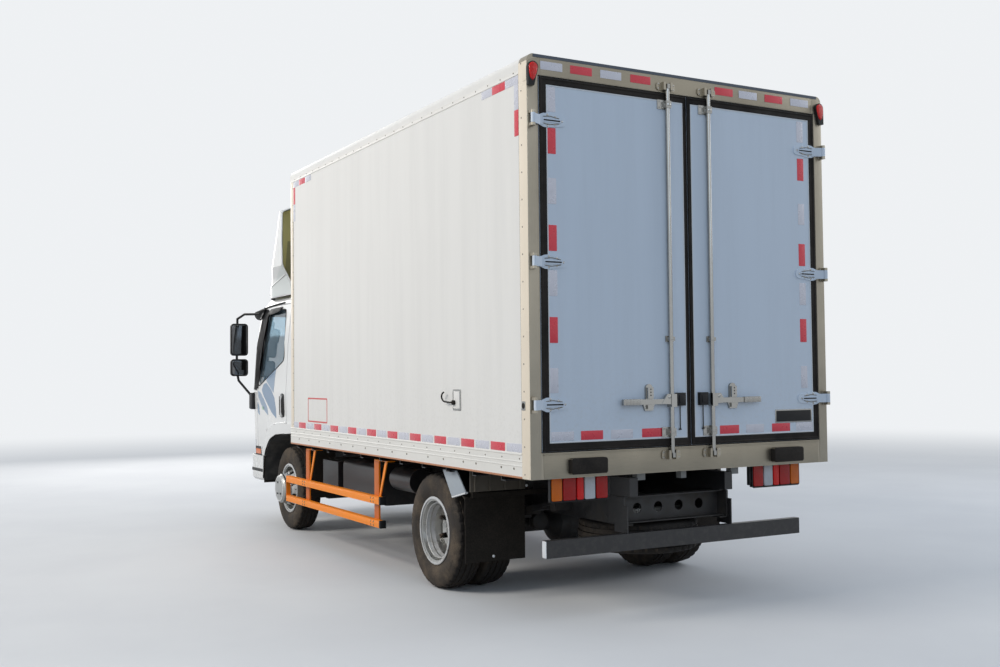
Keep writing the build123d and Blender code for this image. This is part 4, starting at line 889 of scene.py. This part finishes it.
# the wind deflector's fixed edge, and the way from it to its free edge
DEFLECTOR = (((-2652, 1500), (52, -6)), ((-2600, 1700), (52, -8)), ((-2560, 1846), (54, -10)),
             ((-2500, 2080), (50, -36)), ((-2466, 2108), (20, -58)), ((-2300, 2112), (4, -62)),
             ((-2100, 2112), (0, -44)))
PILLAR = ((-2862, 1312), (-2846, 1608), (-2712, 2020), (-2660, 2112), (-2560, 2112), (-2520, 2100), (-2720, 1302))
PILLAR_TOP = ((-2800, 2035), (-2760, 2122), (-2672, 2140), (-2640, 2096), (-2700, 2020))
SWOOSH = (("decal_light", ((-2125, 1517), (-2157, 1404), (-2176, 1280), (-2279, 1332), (-2400, 1388), (-2425, 1406),
                           (-2315, 1460))),
          ("decal_blue", ((-2505, 1362), (-2417, 1378), (-2248, 1308), (-2158, 1234), (-2119, 1130), (-2111, 1034),
                          (-2249, 1088), (-2363, 1160), (-2493, 1246), (-2552, 1308))),
          ("decal_light", ((-2672, 1300), (-2597, 1276), (-2479, 1207), (-2390, 1130), (-2364, 1057), (-2479, 1101),
                           (-2597, 1172), (-2672, 1240))),
          ("decal_light", ((-2700, 1190), (-2655, 1140), (-2637, 1050), (-2700, 1080))),
          ("decal_green", ((-2560, 1140), (-2486, 1140), (-2466, 1116), (-2536, 1108))))
TURN_LAMP = ((-2790, 668), (-2790, 716), (-2640, 716), (-2628, 668))
TURN_LAMP_FRAME = ((-2806, 656), (-2806, 742), (-2626, 742), (-2612, 656))
ARCH_LIP = ((-2494, 440), (-2440, 700), (-2290, 830), (-2100, 884), (-1830, 904))
ARCH_LINING = ((-2488, 420), (-2436, 694), (-2288, 822), (-2100, 876), (-1860, 896))
FLARE = ((-2570, 470), (-2566, 560), (-2518, 740), (-2450, 835), (-2360, 921), (-2250, 958), (-2120, 982),
         (-1960, 996), (-1830, 1002))
GUTTER = ((-2700, 2122), (-2530, 2134), (-2371, 2140), (-2200, 2146), (-2058, 2148))


def make_cab_door_trim(side, name):
    """Window rubber and frame, wind deflector, handle and decals of a cab door."""
    m = Maker("door_trim_" + name, "gasket_rubber")
    ring = soft_corners(WINDOW, 60)
    m.tube(on_side(ring + ring[:2], side, 0.0), 5.0, None, 8)
    m.drape(WINDOW_FRAME, side, 1.6, "smoked_visor", 40, 2.4)
    rings = []
    for (y, z), (dy, dz) in DEFLECTOR:
        fixed, = on_side([(y, z)], side, 1)
        free, = on_side([(y + dy, z + dz)], side, 24)
        middle = (Vector(fixed) + Vector(free)) / 2 + Vector((side * 9, 0, 3))
        ridge = [Vector(fixed), middle, Vector(free)]
        rings.append(ridge + [p - Vector((side * 3, 0, 0)) for p in reversed(ridge)])
    m.loft(rings, "smoked_visor")
    # handle: moulded recess, paddle and lock
    m.drape(soft_corners(((-1966, 1052), (-1966, 1276), (-1862, 1276), (-1862, 1052)), 34), side, 2.0, "black_plastic")
    m.block((side * 970, side * 1002), (-1952, -1902), (1062, 1264), "black_plastic", 12, "x")
    m.turned([(0, 0.1), (0, 11), (side * 4, 11), (side * 5, 8), (side * 5, 0.1)],
             on_side([(-1868, 1110)], side, 2)[0], "x", "black_plastic", 18)
    for finish, outline in SWOOSH:
        m.drape(soft_corners(outline, 12), side, 1.5, finish, 24.0, 2.2)
    m.done("cab_door_" + name)


def make_cab_side():
    """Pillars, turn lamps, mirror feet, gutters and the arches' lips, flares and linings."""
    m = Maker("cab_side_trim", "black_plastic")
    for side, _ in SIDES:
        m.drape(soft_corners(PILLAR, 20), side, 1.6, "smoked_visor", 50)
        m.drape(soft_corners(PILLAR_TOP, 24), side, 16, None, 40, 18)
        m.drape(soft_corners(TURN_LAMP, 12), side, 3.5, "lens_amber", 40)
        m.drape(soft_corners(TURN_LAMP_FRAME, 14), side, 1.2, None, 40)
        m.block((side * 960, side * 1012), (-2892, -2786), (1112, 1278), None, 14, "x")
        m.tube([(side * 984, p.y, p.z - 2) for p in bent([(0, *p) for p in ARCH_LIP], 60)], 6, "gasket_rubber", 8)
        m.tube(on_side(GUTTER, side, 4.0), 9, "smoked_visor", 8)
        m.tube(on_side(FLARE, side, -2.0), 8, "cab_paint", 10)
        path = bent([(0, *p) for p in ARCH_LINING], 60)
        m.loft([[(side * x, p.y + thick, p.z - thick) for p in path]
                for x, thick in ((976, 0), (640, 0), (640, 4), (976, 4))], "arch_lining", ends=False, closed=False)
    m.done("cab")


# Wiper pivots and the tips of their arms, as x; the grille's openings, as x and z
WIPERS = ((640, 250), (-80, -470))
GRILLE_IN, GRILLE_OUT = (-556, 556, 854, 996), (-574, 574, 838, 1012)


def make_cab_front():
    """Screen rubber, wipers, grille frame and mesh, lamp bowls, panel joints and lower lamps."""
    m = Maker("cab_front_trim", "gasket_rubber")
    ring = soft_corners([(-880, 1316), (-840, 2062), (840, 2062), (880, 1316)], 90, 6)
    m.tube(on_front(spread(ring + ring[:2], 70), 1), 9, None, 8)
    # black panel under the screen
    m.loft([on_front([(x, z) for x in range(-800, 801, 80)], lift)
            for z, lift in ((1226, 0), (1226, 3), (1306, 3), (1306, 0))], "black_plastic", closed=False)
    for x0, x1 in WIPERS:
        pivot, tip = (Vector(p) for p in on_front([(x0, 1285)], 3) + on_front([(x1, 1660)], 14))
        m.turned([(4, 0.1), (4, 17), (-7, 15), (-11, 9), (-11, 0.1)], pivot, "y", "black_plastic", 18)
        middle = pivot.lerp(tip, 0.5) + Vector((0, -12, 0))
        m.tube([pivot + Vector((0, -4, 0)), pivot.lerp(middle, 0.5) + Vector((0, -2, 0)), middle, tip],
               [7, 6, 4.5, 3.5], "black_plastic", 8)
        blade = [(x1 - 190 + 380 * n / 8, 1560 + 210 * n / 8) for n in range(9)]
        m.tube(on_front(blade, 8), 5, None, 6)
    # grille surround, fine mesh behind the slats
    m.band(rounded(*GRILLE_IN, 8, 3), rounded(*GRILLE_OUT, 18, 3), "y", -2940,
           ((0, 20), (0, -16), (0.4, -22), (1, -14), (1, 20)), "black_plastic")
    for n in range(56):
        x = -550 + n * 20
        m.tube([(x, -2912, 852), (x, -2912, 998)], 1.8, "grille_black", 6)
    for n in range(8):
        z = 862 + n * 18
        m.tube([(-552, -2910, z), (552, -2910, z)], 1.8, "grille_black", 6)
    # lamp bowls and turn signals at both ends, joints beside the grille panel
    for side, _ in SIDES:
        for x, r in ((690, 54), (806, 44)):
            centre, = on_front([(side * x, 741)], 0)
            m.turned([(2, r), (-4, r - 2), (-6, r - 7), (-3, r - 12), (2, r - 13)], centre, "y", "bright_steel", 36)
            m.turned([(1, r - 16), (-5, r - 20), (-8, r * 0.4), (-9, 0.1), (1, 0.1)], centre, "y", "lens_clear", 32)
        signal = on_front([(side * x, z) for x, z in rect(872, 936, 690, 792)], 2.5)
        m.loft([signal, [(x, y + 6, z) for x, y, z in signal]], "lens_amber")
        m.tube(on_front([(side * 620, z) for z in range(820, 1226, 40)], 0.3), 2.0, None, 6)
    m.done("cab")

    m = Maker("bumper_trim", "black_plastic")
    for side, _ in SIDES:
        m.turned([(4, 46), (-4, 46), (-8, 42), (-6, 38), (4, 38)], (side * 620, -2968, 500), "y", None, 32)
        m.turned([(3, 38), (-3, 37), (-7, 20), (-8, 0.1), (3, 0.1)], (side * 620, -2966, 500), "y", "lens_clear", 28)
        # dark groove along the bumper's side
        m.loft([[(side * x, y, z) for y in (-2860, -2780, -2700, -2600, -2510)]
                for x, z in ((986, 495), (987, 497), (987, 523), (986, 525))], ends=False, closed=False)
    m.strip(rect(-2988.6, -2989.6, 425, 432), "x", -300, 300, "gasket_rubber")
    m.done("chassis")


VISOR_HALF, VISOR_REACH, VISOR_STEP = 880, 146, 80
VISOR_CHEEK = ((-2972, 2104), (-2691, 2126), (-2600, 2114), (-2691, 2048), (-2774, 2008), (-2900, 2022), (-2972, 2058))


def make_visor():
    """Smoked sun visor over the windscreen with its end cheeks."""
    m = Maker("sun_visor", "smoked_visor")
    rings = []
    for x in range(-VISOR_HALF, VISOR_HALF + 1, VISOR_STEP):
        back = -2838 + 40 * (x / 900) ** 2
        edge = back - VISOR_REACH + 16 * (x / VISOR_HALF) ** 2
        middle = (back + edge) / 2
        rings.append([(x, back + 16, 2132), (x, back - 40, 2134), (x, middle - 20, 2118), (x, edge, 2064),
                      (x, edge + 4, 2058), (x, middle - 14, 2110), (x, back - 38, 2126), (x, back + 14, 2124)])
    m.loft(rings)
    for side, _ in SIDES:
        m.pad(soft_corners(VISOR_CHEEK, 26), "x", side * VISOR_HALF, side * (VISOR_HALF + 50), r=12)
    m.done("cab")


def make_mirrors():
    """Glass in both mirrors of each side, rims and clamps on the tube."""
    m = Maker("mirror_trim", "black_plastic")

    def outline(side, middle, tall, edge, r):
        """A mirror's outline: edge is its distance inside the housing's."""
        return rounded(side * 1100 - 84 + edge, side * 1100 + 84 - edge, middle - tall / 2, middle + tall / 2, r)

    for side, _ in SIDES:
        for z, tall in ((1817, 328), (1532, 174)):
            m.pad(outline(side, z, tall - 26, 9, 24), "y", -2920, -2915.5, "mirror_glass", 1.2, 1.0)
            m.band(outline(side, z, tall - 20, 7, 26), outline(side, z, tall - 2, -3, 32), "y", -2919,
                   ((0, 0), (0, 5), (0.5, 8), (1, 3), (1, 0)))
        for z in (1690, 1940, 1480, 1590):
            m.turned([(-16, 12.5), (-14, 19), (14, 19), (16, 12.5)], (side * 1117.5, -2960, z), "z", None, 20)
        m.hexagons([(side * 1001, -2860, z) for z in (1140, 1215)], (side, 0, 0), 8, 6, "bright_steel")
    m.done("cab")


# The fairing's plan at some heights: z, half width, front y at the middle and at the sides, rear y, corner radius
FAIRING = ((2250, 900, -2688, -2606, -1845, 150), (2300, 905, -2680, -2600, -1850, 150),
           (2395, 928, -2620, -2480, -1915, 180), (2495, 980, -2560, -2300, -1920, 180),
           (2760, 985, -2330, -2150, -1920, 140), (3003, 980, -2110, -2038, -1920, 80),
           (3030, 895, -2080, -2014, -1920, 60))
FAIRING_FOOT = (2211, 900, -2690, -2610, -1845, 150)
FAIRING_EDGE = ((895, -1846, 2214), (899, -1851, 2300), (922, -1913, 2395), (974, -1919, 2495), (979, -1919, 2760),
                (974, -1919, 3008), (884, -1919, 3046), (0, -1919, 3046))
# lower side panel, the wedge above it and the crease between them, as (y, z)
FAIRING_PANEL = ((-1860, 2226), (-1872, 2330), (-1916, 2404), (-2239, 2356), (-2539, 2300), (-2556, 2226))
FAIRING_WEDGE = ((-1922, 2420), (-1922, 2498), (-2060, 2452), (-2278, 2374), (-2239, 2364))
FAIRING_CREASE = ((-1916, 2410), (-2080, 2386), (-2239, 2360), (-2400, 2332), (-2545, 2304))


def fairing_line(row, inward):
    """A plan outline, from one rear edge forward round to the other."""
    z, half, middle, sides, rear, corner = row
    half, middle, sides = half - inward, middle + inward, sides + inward
    front = [Vector((x, sides - (sides - middle) * (1 - (x / half) ** 2), z))
             for x in (half * (1 - n / 5) for n in range(1, 10))]
    path = [Vector((half, rear + 1, z)), Vector((half, sides, z)), *front,
            Vector((-half, sides, z)), Vector((-half, rear + 1, z))]
    first, last = (round_off(*path[n - 1:n + 2], corner, 4, 0.9, False) for n in (1, len(path) - 2))
    return path[:1] + first + front + last + path[-1:]


def make_fairing_trim():
    """Gelcoat lining inside the fairing, its edge bead, foot rubber, side panels and fixing bolts."""
    m = Maker("fairing_lining", "olive_gelcoat")
    rings = [fairing_line(row, 18 if row[0] > 2300 else 16) for row in FAIRING]
    made = m.loft(rings, ends=False, closed=False)
    m.bm.faces.new([m.bm.verts.new(p) for p in rings[-1]])
    places = [(face, face.calc_center_median()) for face in made]
    # faces in the middle of the front wall take the darker olive: a patch of painted shade on the lining
    m.paint_faces([face for face, at in places if abs(at.x) < 812 and at.z < 2935 and at.y < -2100], "olive_dark")
    m.done("cab")

    m = Maker("fairing_trim", "gasket_rubber")
    skin = side_skin("roof_fairing")
    for side, _ in SIDES:
        m.tube(bent([(side * x, y, z) for x, y, z in FAIRING_EDGE], 30, 4), 6, "cab_paint", 8)
        m.tube([(side * 893, -1850, 2211), (side * 897, -2200, 2211), (side * 897, -2500, 2211)], 7, None, 8)
        m.domes([(side * 901, y, 2252) for y in (-1900, -2120, -2340, -2520)], (side, 0, 0), 7, 4, "bright_steel", 12)
        # the side panel and the wedge are painted grey-green: painted shade on faces turned away from the light
        m.drape(FAIRING_PANEL, side, 5.0, "fairing_low", 60, 6.0, skin)
        m.drape(FAIRING_WEDGE, side, 3.0, "fairing_low", 50, 4.0, skin)
        m.tube(on_side(FAIRING_CREASE, side, 5, skin), 5.5, "cab_paint", 8)
    m.tube(fairing_line(FAIRING_FOOT, 4), 7, None, 8)
    m.done("cab")


def make_unit_trim():
    """Fans behind the cooling unit's slats, side louvres, lid joints and bolts."""
    m = Maker("unit_trim", "black_plastic")
    fan_z, blades = 2680, 7
    for x in (-300, 300):
        m.turned([(0, 168), (-16, 168), (-18, 162), (-16, 156), (0, 156)], (x, -1566, fan_z), "y", None, 44)
        m.turned([(0, 0.1), (0, 44), (-14, 40), (-20, 30), (-20, 0.1)], (x, -1562, fan_z), "y", None, 28)
        for turn in turns(blades):
            # radius, turn, depth
            blade = [(x + r * cos(t), -1560 + depth, fan_z + r * sin(t))
                     for r, t, depth in ((40, turn, 0), (40, turn + 0.55, -12), (150, turn + 0.67, -14),
                                         (150, turn + 0.1, 2))]
            m.loft([blade, [(p[0], p[1] + 2.5, p[2]) for p in blade]])
    for side, _ in SIDES:
        for n in range(9):
            z = 2520 + n * 40
            m.block((side * 699, side * 707), (-1520, -1270), (z, z + 16), "grille_black", 3, "x")
        bolts = ((-1240, 2470), (-1240, 3010), (-1560, 2470), (-1530, 2980), (-1400, 2470), (-1400, 3015))
        m.domes([(side * 700, y, z) for y, z in bolts], (side, 0, 0), 6, 3, "bright_steel")
    for x in (-350, 0, 350):
        m.tube([(x, -1587.0, 2450), (x, -1587.0, 2495)], 1.8, "gasket_rubber", 6)
    m.strip(rect(-1210, -1590, 2432, 2441), "x", -705, 705, "bright_steel")
    m.done("chassis")


# Wheels and running gear
# half of a tyre's section, from the bead out over the wall to the tread's middle: along the axle, radius
TYRE_HALF = ((76.0, 207.5), (81.0, 227), (90, 244), (96.5, 262), (97.6, 268), (99.2, 272), (99.8, 300), (99.8, 318),
             (97.6, 334), (96, 338), (96, 343), (93.5, 352), (90.5, 362), (84, 373), (77, 379.2), (58, 382), (57, 374),
             (51, 374.2), (50, 383), (24, 385), (23, 377), (17, 377), (16, 387.4))
TYRE = ([(-along, radius) for along, radius in TYRE_HALF] + list(reversed(TYRE_HALF))
        + [(60, 216), (0, 220), (-60, 216)])
# depth of the cuts at points of the half section
SHOULDER_CUTS = {12: 2.0, 13: 5.0, 14: 8.5, 15: 8.5}
RIB_CUTS = {18: 3.5, 19: 3.5}
PATTERN = 4             # steps round the tyre from one cut to the next


def tread(k, n, radius):
    """Grooves across the shoulders and short notches in the ribs, turned half a pitch from side to side."""
    far_side = k >= len(TYRE_HALF)
    k = 2 * len(TYRE_HALF) - 1 - k if far_side else k
    if (n + (2 if far_side else 0)) % PATTERN == 0:
        radius -= SHOULDER_CUTS.get(k, 0)
    if (n + (1 if far_side else 3)) % PATTERN == 0:
        radius -= RIB_CUTS.get(k, 0)
    return radius


def make_tyre(name, centres, axis, body, node):
    m = Maker(name, "tyre_rubber")
    for centre in centres:
        m.turned(TYRE, centre, axis, None, 144, tread)
    m.done(body, (node,), 28, slot="tyre")


def make_tyres():
    """Tyres with ribs, shoulder blocks and side wall rings."""
    for side, name in SIDES:
        make_tyre("tread_front_" + name, [(side * 830, FRONT_AXLE, AXLE_Z)], "x", "wheel_front_" + name,
                  "front_tyre_" + name)
        make_tyre("tread_rear_" + name, [(side * x, REAR_AXLE, AXLE_Z) for x in (704, 934)], "x",
                  "wheels_rear_" + name, "rear_tyres_" + name)
    make_tyre("tread_spare", [(0, 2385, 415)], "z", "chassis", "spare_tyre")


def on_wheel(x, axle, radius=0, turn=0):
    """A point at some radius and turn round an axle."""
    return (x, axle + radius * cos(turn), AXLE_Z + radius * sin(turn))


def make_front_wheel_trim(side, name):
    """Rim edge, rings, nuts, the hub cover's marks and screws, and the valve."""
    m = Maker("rim_trim_front_" + name, "bright_steel")
    out = (side, 0, 0)
    # x of the ring, its section as (outwards, radius), finish, steps
    for x, section, finish, steps in (
            (914, ((8, 213), (8, 226), (4, 229), (0, 227), (-3, 213)), "rim_edge", 72),
            (1018, ((0, 104), (3, 106), (5, 112), (3, 118), (0, 119)), "cab_paint", 60),
            (948, ((0, 134.5), (1.5, 137), (30, 137), (36, 134.5)), "rim_edge", 60)):
        m.turned([(side * along, r) for along, r in section], on_wheel(side * x, FRONT_AXLE), "x", finish, steps)
    m.hexagons([on_wheel(side * 947, FRONT_AXLE, 146, turn) for turn in turns(6, 0.3)], out, 9, 10)
    # turn, radius, half width, half height
    for turn, r, a, b in ((2.0, 62, 20, 9), (4.1, 58, 24, 8), (5.6, 70, 16, 10)):
        _, y, z = on_wheel(0, FRONT_AXLE, r, turn)
        m.pad(rounded(y - a, y + a, z - b, z + b, b * 0.8, 3), "x", side * 1024, side * 1026.6, "black_plastic", 0.6)
    m.domes([on_wheel(side * 1024.5, FRONT_AXLE, 92, turn) for turn in turns(4, pi / 4)], out, 6, 4, sides=12)
    valve = [(side * x, FRONT_AXLE + ahead, AXLE_Z) for x, ahead in ((876, 196), (902, 196), (926, 184))]
    m.tube(bent(valve, 8, 3), 4, "black_plastic", 8)
    m.done("wheel_front_" + name)


def make_rear_wheel_trim(side, name):
    """Rim edge with its lock ring, dish ring, nuts and studs, hub cap and flange bolts."""
    m = Maker("rim_trim_rear_" + name, "bright_steel")
    out = (side, 0, 0)
    for x, section, finish, steps in (
            (1018, ((8, 213), (8, 226), (4, 229), (0, 227), (-3, 213)), "rim_edge", 72),
            (1012, ((3, 205), (5, 210), (2, 214), (-3, 213), (-3, 205)), None, 72),
            (995, ((0, 186), (-30, 184.5), (-62, 178), (-62, 174), (-28, 180), (0, 182)), "rim_edge", 72),
            (894, ((0, 0.1), (0, 40), (12, 37), (18, 26), (20, 0.1)), "rim_silver", 32),
            (834, ((0, 93), (4, 92), (6, 134), (0, 136)), "rust_lip", 48)):
        m.turned([(side * along, r) for along, r in section], on_wheel(side * x, REAR_AXLE), "x", finish, steps)
    m.hexagons([on_wheel(side * 836.5, REAR_AXLE, 114, turn) for turn in turns(6, 0.25)], out, 17, 20)
    m.domes([on_wheel(side * 856, REAR_AXLE, 114, turn) for turn in turns(6, 0.25)], out, 9, 12, sides=12)
    m.hexagons([on_wheel(side * 894.5, REAR_AXLE, 62, turn) for turn in turns(8)], out, 7, 7)
    m.done("wheels_rear_" + name)


def make_gear_trim():
    """U-bolts and clips of the springs, dampers, brake chambers and rail bolts."""
    m = Maker("gear_trim", "chassis_paint")
    for side, _ in SIDES:
        # spring x, its width, axle y, the bolts' foot and top
        for x, wide, y, z0, z1 in ((365, 56, FRONT_AXLE, 330, 396), (480, 66, REAR_AXLE, 360, 540)):
            for along in (y - 52, y + 52):
                for across in (-wide / 2 - 7, wide / 2 + 7):
                    m.tube([(side * x + across, along, z0), (side * x + across, along, z1)], 6, "bright_steel", 8)
                m.block((side * (x - wide / 2 - 14), side * (x + wide / 2 + 14)), (along - 10, along + 10),
                        (z1 - 4, z1 + 8), None, 3, "z")
        # dampers
        for y, z0, z1, x in ((FRONT_AXLE + 120, 372, 640, 440), (REAR_AXLE - 140, 360, 660, 545)):
            ends = (side * x, y, z0), (side * x, y + 60, (z0 + z1) / 2), (side * x, y + 120, z1)
            m.tube(ends[:2], 24, None, 16)
            m.tube(ends[1:], 31, None, 16)
        # rear brake chamber with its push rod
        y = REAR_AXLE + 150
        m.turned([(-40, 0.1), (-40, 52), (-34, 62), (-4, 64), (-4, 70), (4, 70), (4, 64), (36, 60), (42, 50),
                  (42, 0.1)], (side * 300, y, 420), "y", None, 32)
        m.tube([(side * 300, y - 38, 420), (side * 300, REAR_AXLE + 64, 412)], 8, "bright_steel", 8)
        m.domes([(side * 395, -2500 + n * 222, z) for n in range(24) for z in (560, 660)], (side, 0, 0), 8, 6)
    m.done("chassis")


def make_fender_trim():
    """Gussets over the flaps, the flaps' carrier plates and studs, the rear bar's ends and the runners' ends."""
    m = Maker("fender_trim", "gusset_grey")
    for side, _ in SIDES:
        m.pad([(1652, 812), (1856, 818), (1979, 690), (1782, 646)], "x", side * 1038, side * 1046, r=2)
        m.pad([(1782, 646), (1979, 690), (1972, 678), (1790, 637)], "x", side * 1026, side * 1047, "edge_strip")
        m.block((side * 620, side * 1024), (1996, 2004), (690, 836), "carrier_brown", 2)
        for x in (660, 770, 880, 990):
            m.block((side * (x - 9), side * (x + 9)), (2000, 2016), (694, 838), "carrier_brown", 3)
        m.domes([(side * 854, 1996, 272)], REARWARD, 9, 5, "edge_strip", 14)
        m.domes([(side * 611, 2008, 712)], REARWARD, 9, 8, "edge_strip", 12)
        m.pad(rounded(2793, 2836, 382, 478, 3, 2), "x", side * 969, side * 973, "edge_strip")
    for x, z in (((275, 336), (794, 843)), ((-36, 6), (790, 843)), ((-452, -392), (794, 843))):
        m.block(x, (2800, 2848), z, "runner_grey", 3)
    m.done("chassis")


def make_guard_trim():
    """Rear ends, faces, post plates and nuts of the side guards."""
    m = Maker("guard_trim", "orange_paint")
    for side, _ in SIDES:
        for low, high in ((490, 545), (320, 372)):
            m.block((side * 1054, side * 1102), (698, 722), (low - 2, high + 2), "black_plastic", 5, "x")
            m.strip([(side * x, z) for x, z in ((1100.3, low + 12), (1101.8, low + 14), (1101.8, high - 14),
                                                (1100.3, high - 12))], "y", -1428, 698)
        for y in (-960, 570):
            m.hexagons([(side * 1100, y + dy, z) for z in (506, 528, 334, 356) for dy in (-24, 24)], (side, 0, 0), 7, 5,
                       "dull_bolt")
            m.pad(rounded(y - 44, y + 44, 322, 800, 4, 2), "x", side * 1061, side * 1063, "orange_dark", 0.6)
    m.done("chassis")


# Cab interior
CUSHION_CUTS, CUSHION_POWER, SIDE_PULL = 15, 5.0, 0.035


def cushion(name, low, high, crown, lean):
    """A crowned cushion: a rounded box whose faces swell and whose sides pull in between its corners."""
    centre, half = (low + high) / 2, (high - low) / 2
    m = Maker(name, "seat_cloth")
    bmesh.ops.create_cube(m.bm, size=2.0)
    bmesh.ops.subdivide_edges(m.bm, edges=m.bm.edges[:], cuts=CUSHION_CUTS, use_grid_fill=True)
    for vert in m.bm.verts:
        u = vert.co.copy()
        s = u / sum(abs(c) ** CUSHION_POWER for c in u) ** (1 / CUSHION_POWER)
        for axis in range(3):
            a, b = (u[k] for k in range(3) if k != axis)
            swell = (crown if axis == 2 else crown * 0.35) * (1 - a ** 2) * (1 - b ** 2)
            s[axis] += swell * (1 if u[axis] > 0 else -1) * abs(u[axis]) ** 3
        s.x *= 1 - SIDE_PULL * (1 - u.y ** 2) * abs(u.x)
        s.y *= 1 - SIDE_PULL * (1 - u.x ** 2) * abs(u.y)
        vert.co = centre + s * half
        vert.co.y += lean * (vert.co.z - low.z)
    return m


SEAT_BASE = 1130.3
CHANNELS, CHANNEL_DEPTH = 6, 7


def make_seats():
    """Driver's seat and the double seat beside it: cushions, backs and head rests with sewn channels."""
    # centre x, half width, the head rests' x
    for n, (x, half, heads) in enumerate(((430, 250, (430,)), (-380, 470, (-605, -155)))):
        m = Maker("seat_frame_%d" % n, "dash_plastic")
        m.block((x - half + 32, x + half - 32), (-2118, -1642), (SEAT_BASE, SEAT_BASE + 92), None, 14, "z")
        m.block((x - half + 60, x + half - 60), (-2090, -1670), (SEAT_BASE - 0.2, SEAT_BASE + 12), "chassis_paint", 3,
                "z")
        m.done("cab")
        # name, low corner and high corner over the base, crown, lean, the axis across the channels
        pads = [("seat_pad_%d" % n, (x - half + 4, -2156, 88), (x + half - 4, -1606, 216), 0.10, 0.0, 1),
                ("seat_back_%d" % n, (x - half + 6, -1692, 175), (x + half - 6, -1585, 792), 0.06, 0.165, 2)]
        pads += [("head_rest_%d_%d" % (n, k), (head - 112, -1548, 788), (head + 112, -1466, 936), 0.12, 0.0, None)
                 for k, head in enumerate(heads)]
        for name, low, high, crown, lean, along in pads:
            low, high = (Vector(corner) + Vector((0, 0, SEAT_BASE)) for corner in (low, high))
            m = cushion(name, low, high, crown, lean)
            for vert in m.bm.verts if along else ():
                share = (vert.co[along] - low[along]) / (high[along] - low[along])
                if 0.15 < share < 0.85:
                    groove = CHANNEL_DEPTH * max(0.0, 1 - abs((share * CHANNELS) % 1.0 - 0.5) * 9)
                    if along == 1 and vert.co.z > high.z - 25:
                        vert.co.z -= groove
                    elif along == 2 and vert.co.y < low.y + lean * (vert.co.z - low.z) + 25:
                        vert.co.y += groove
            piece = m.done("cab", angle=60)
            soft = piece.modifiers.new("soften", "SUBSURF")
            soft.levels = soft.render_levels = 1
            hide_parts("seats")


STEERING_AT, STEERING_AXIS = Vector((430, -2410, 1500)), Vector((0, 0.5, 0.866)).normalized()


def make_cockpit():
    """Instrument hood, dials, vents, switches, gear lever and the steering wheel's grip and boss."""
    m = Maker("dash_trim", "dash_plastic")
    for x in (330, 430, 530):
        m.turned([(0, 0.1), (0, 38), (5, 40), (9, 36), (6, 33), (5, 0.1)], (x, -2598, 1286), "y", "black_plastic", 32)
        m.turned([(6, 0.1), (6, 31), (7, 31), (7.4, 0.1)], (x, -2598, 1286), "y", "lens_clear", 28)
    m.loft([[(x, y, 1330 + 26 * (1 - ((x - 430) / 190) ** 2) - thick) for x in range(240, 621, 38)]
            for y, thick in ((-2600, 0), (-2696, 0), (-2696, 6), (-2600, 6))], ends=False, closed=False)
    for x in (-760, -200, 60, 780):
        m.pad(rounded(x - 62, x + 62, 1262, 1304, 9), "y", -2606, -2592, "black_plastic", 4)
        for z in (1267, 1276, 1285, 1294):
            m.block((x - 54, x + 54), (-2594, -2588), (z, z + 3), r=1)
    m.pad(rounded(-110, 160, 1175, 1250, 10), "y", -2640, -2590, "black_plastic", 6)
    for n in range(5):
        m.turned([(0, 0.1), (0, 13), (9, 12), (11, 9), (11, 0.1)], (-70 + n * 46, -2590, 1212), "y",
                 "bright_steel" if n == 2 else None, 18)
    m.tube(bent([(25, -2360, 940), (25, -2350, 1180), (40, -2380, 1330)], 60), 9, "bright_steel", 10)
    m.turned([(-30, 0.1), (-26, 18), (0, 26), (22, 24), (32, 0.1)], (40, -2382, 1350), "z", "black_plastic", 20)
    m.done("cab")

    m = Maker("wheel_grip", "black_plastic")
    plane = Vector((1, 0, 0)), STEERING_AXIS.cross(Vector((1, 0, 0)))
    ring = circle(STEERING_AT - STEERING_AXIS * 12, *plane, 207, 64)
    m.tube(ring + ring[:1], [15.5 + 0.8 * (n % 2) for n in range(65)], None, 14)
    m.loft([circle(STEERING_AT + STEERING_AXIS * lift, *plane, r, 28)
            for r, lift in ((60, -18), (62, -2), (56, 8), (34, 14), (1, 16))], "dash_plastic")
    m.done("steering_wheel")


def on_both_sides(*makers):
    for side, name in SIDES:
        for make in makers:
            make(side, name)


bpy.context.scene.view_settings.view_transform = "Standard"
set_camera()
make_floor()
make_light()
materials = {name: kind(name, *row) for kind, rows in MATERIALS for name, row in rows.items()}
cab_skin = side_skin("cab_front", "cab_roof", "cab_rear", "cab_door_left", "cab_door_right", "headlamps")
front_tree = surface("cab_front", "cab_roof", "cab_glass", "headlamps")
dress_nodes()
make_tapes()
on_both_sides(make_door_seal, make_door_hardware)
make_rear_frame_trim()
make_side_trim()
make_lamps()
on_both_sides(make_cab_door_trim)
make_cab_side()
make_cab_front()
make_visor()
make_mirrors()
make_fairing_trim()
make_unit_trim()
make_tyres()
on_both_sides(make_front_wheel_trim, make_rear_wheel_trim)
make_gear_trim()
make_fender_trim()
make_guard_trim()
make_seats()
make_cockpit()
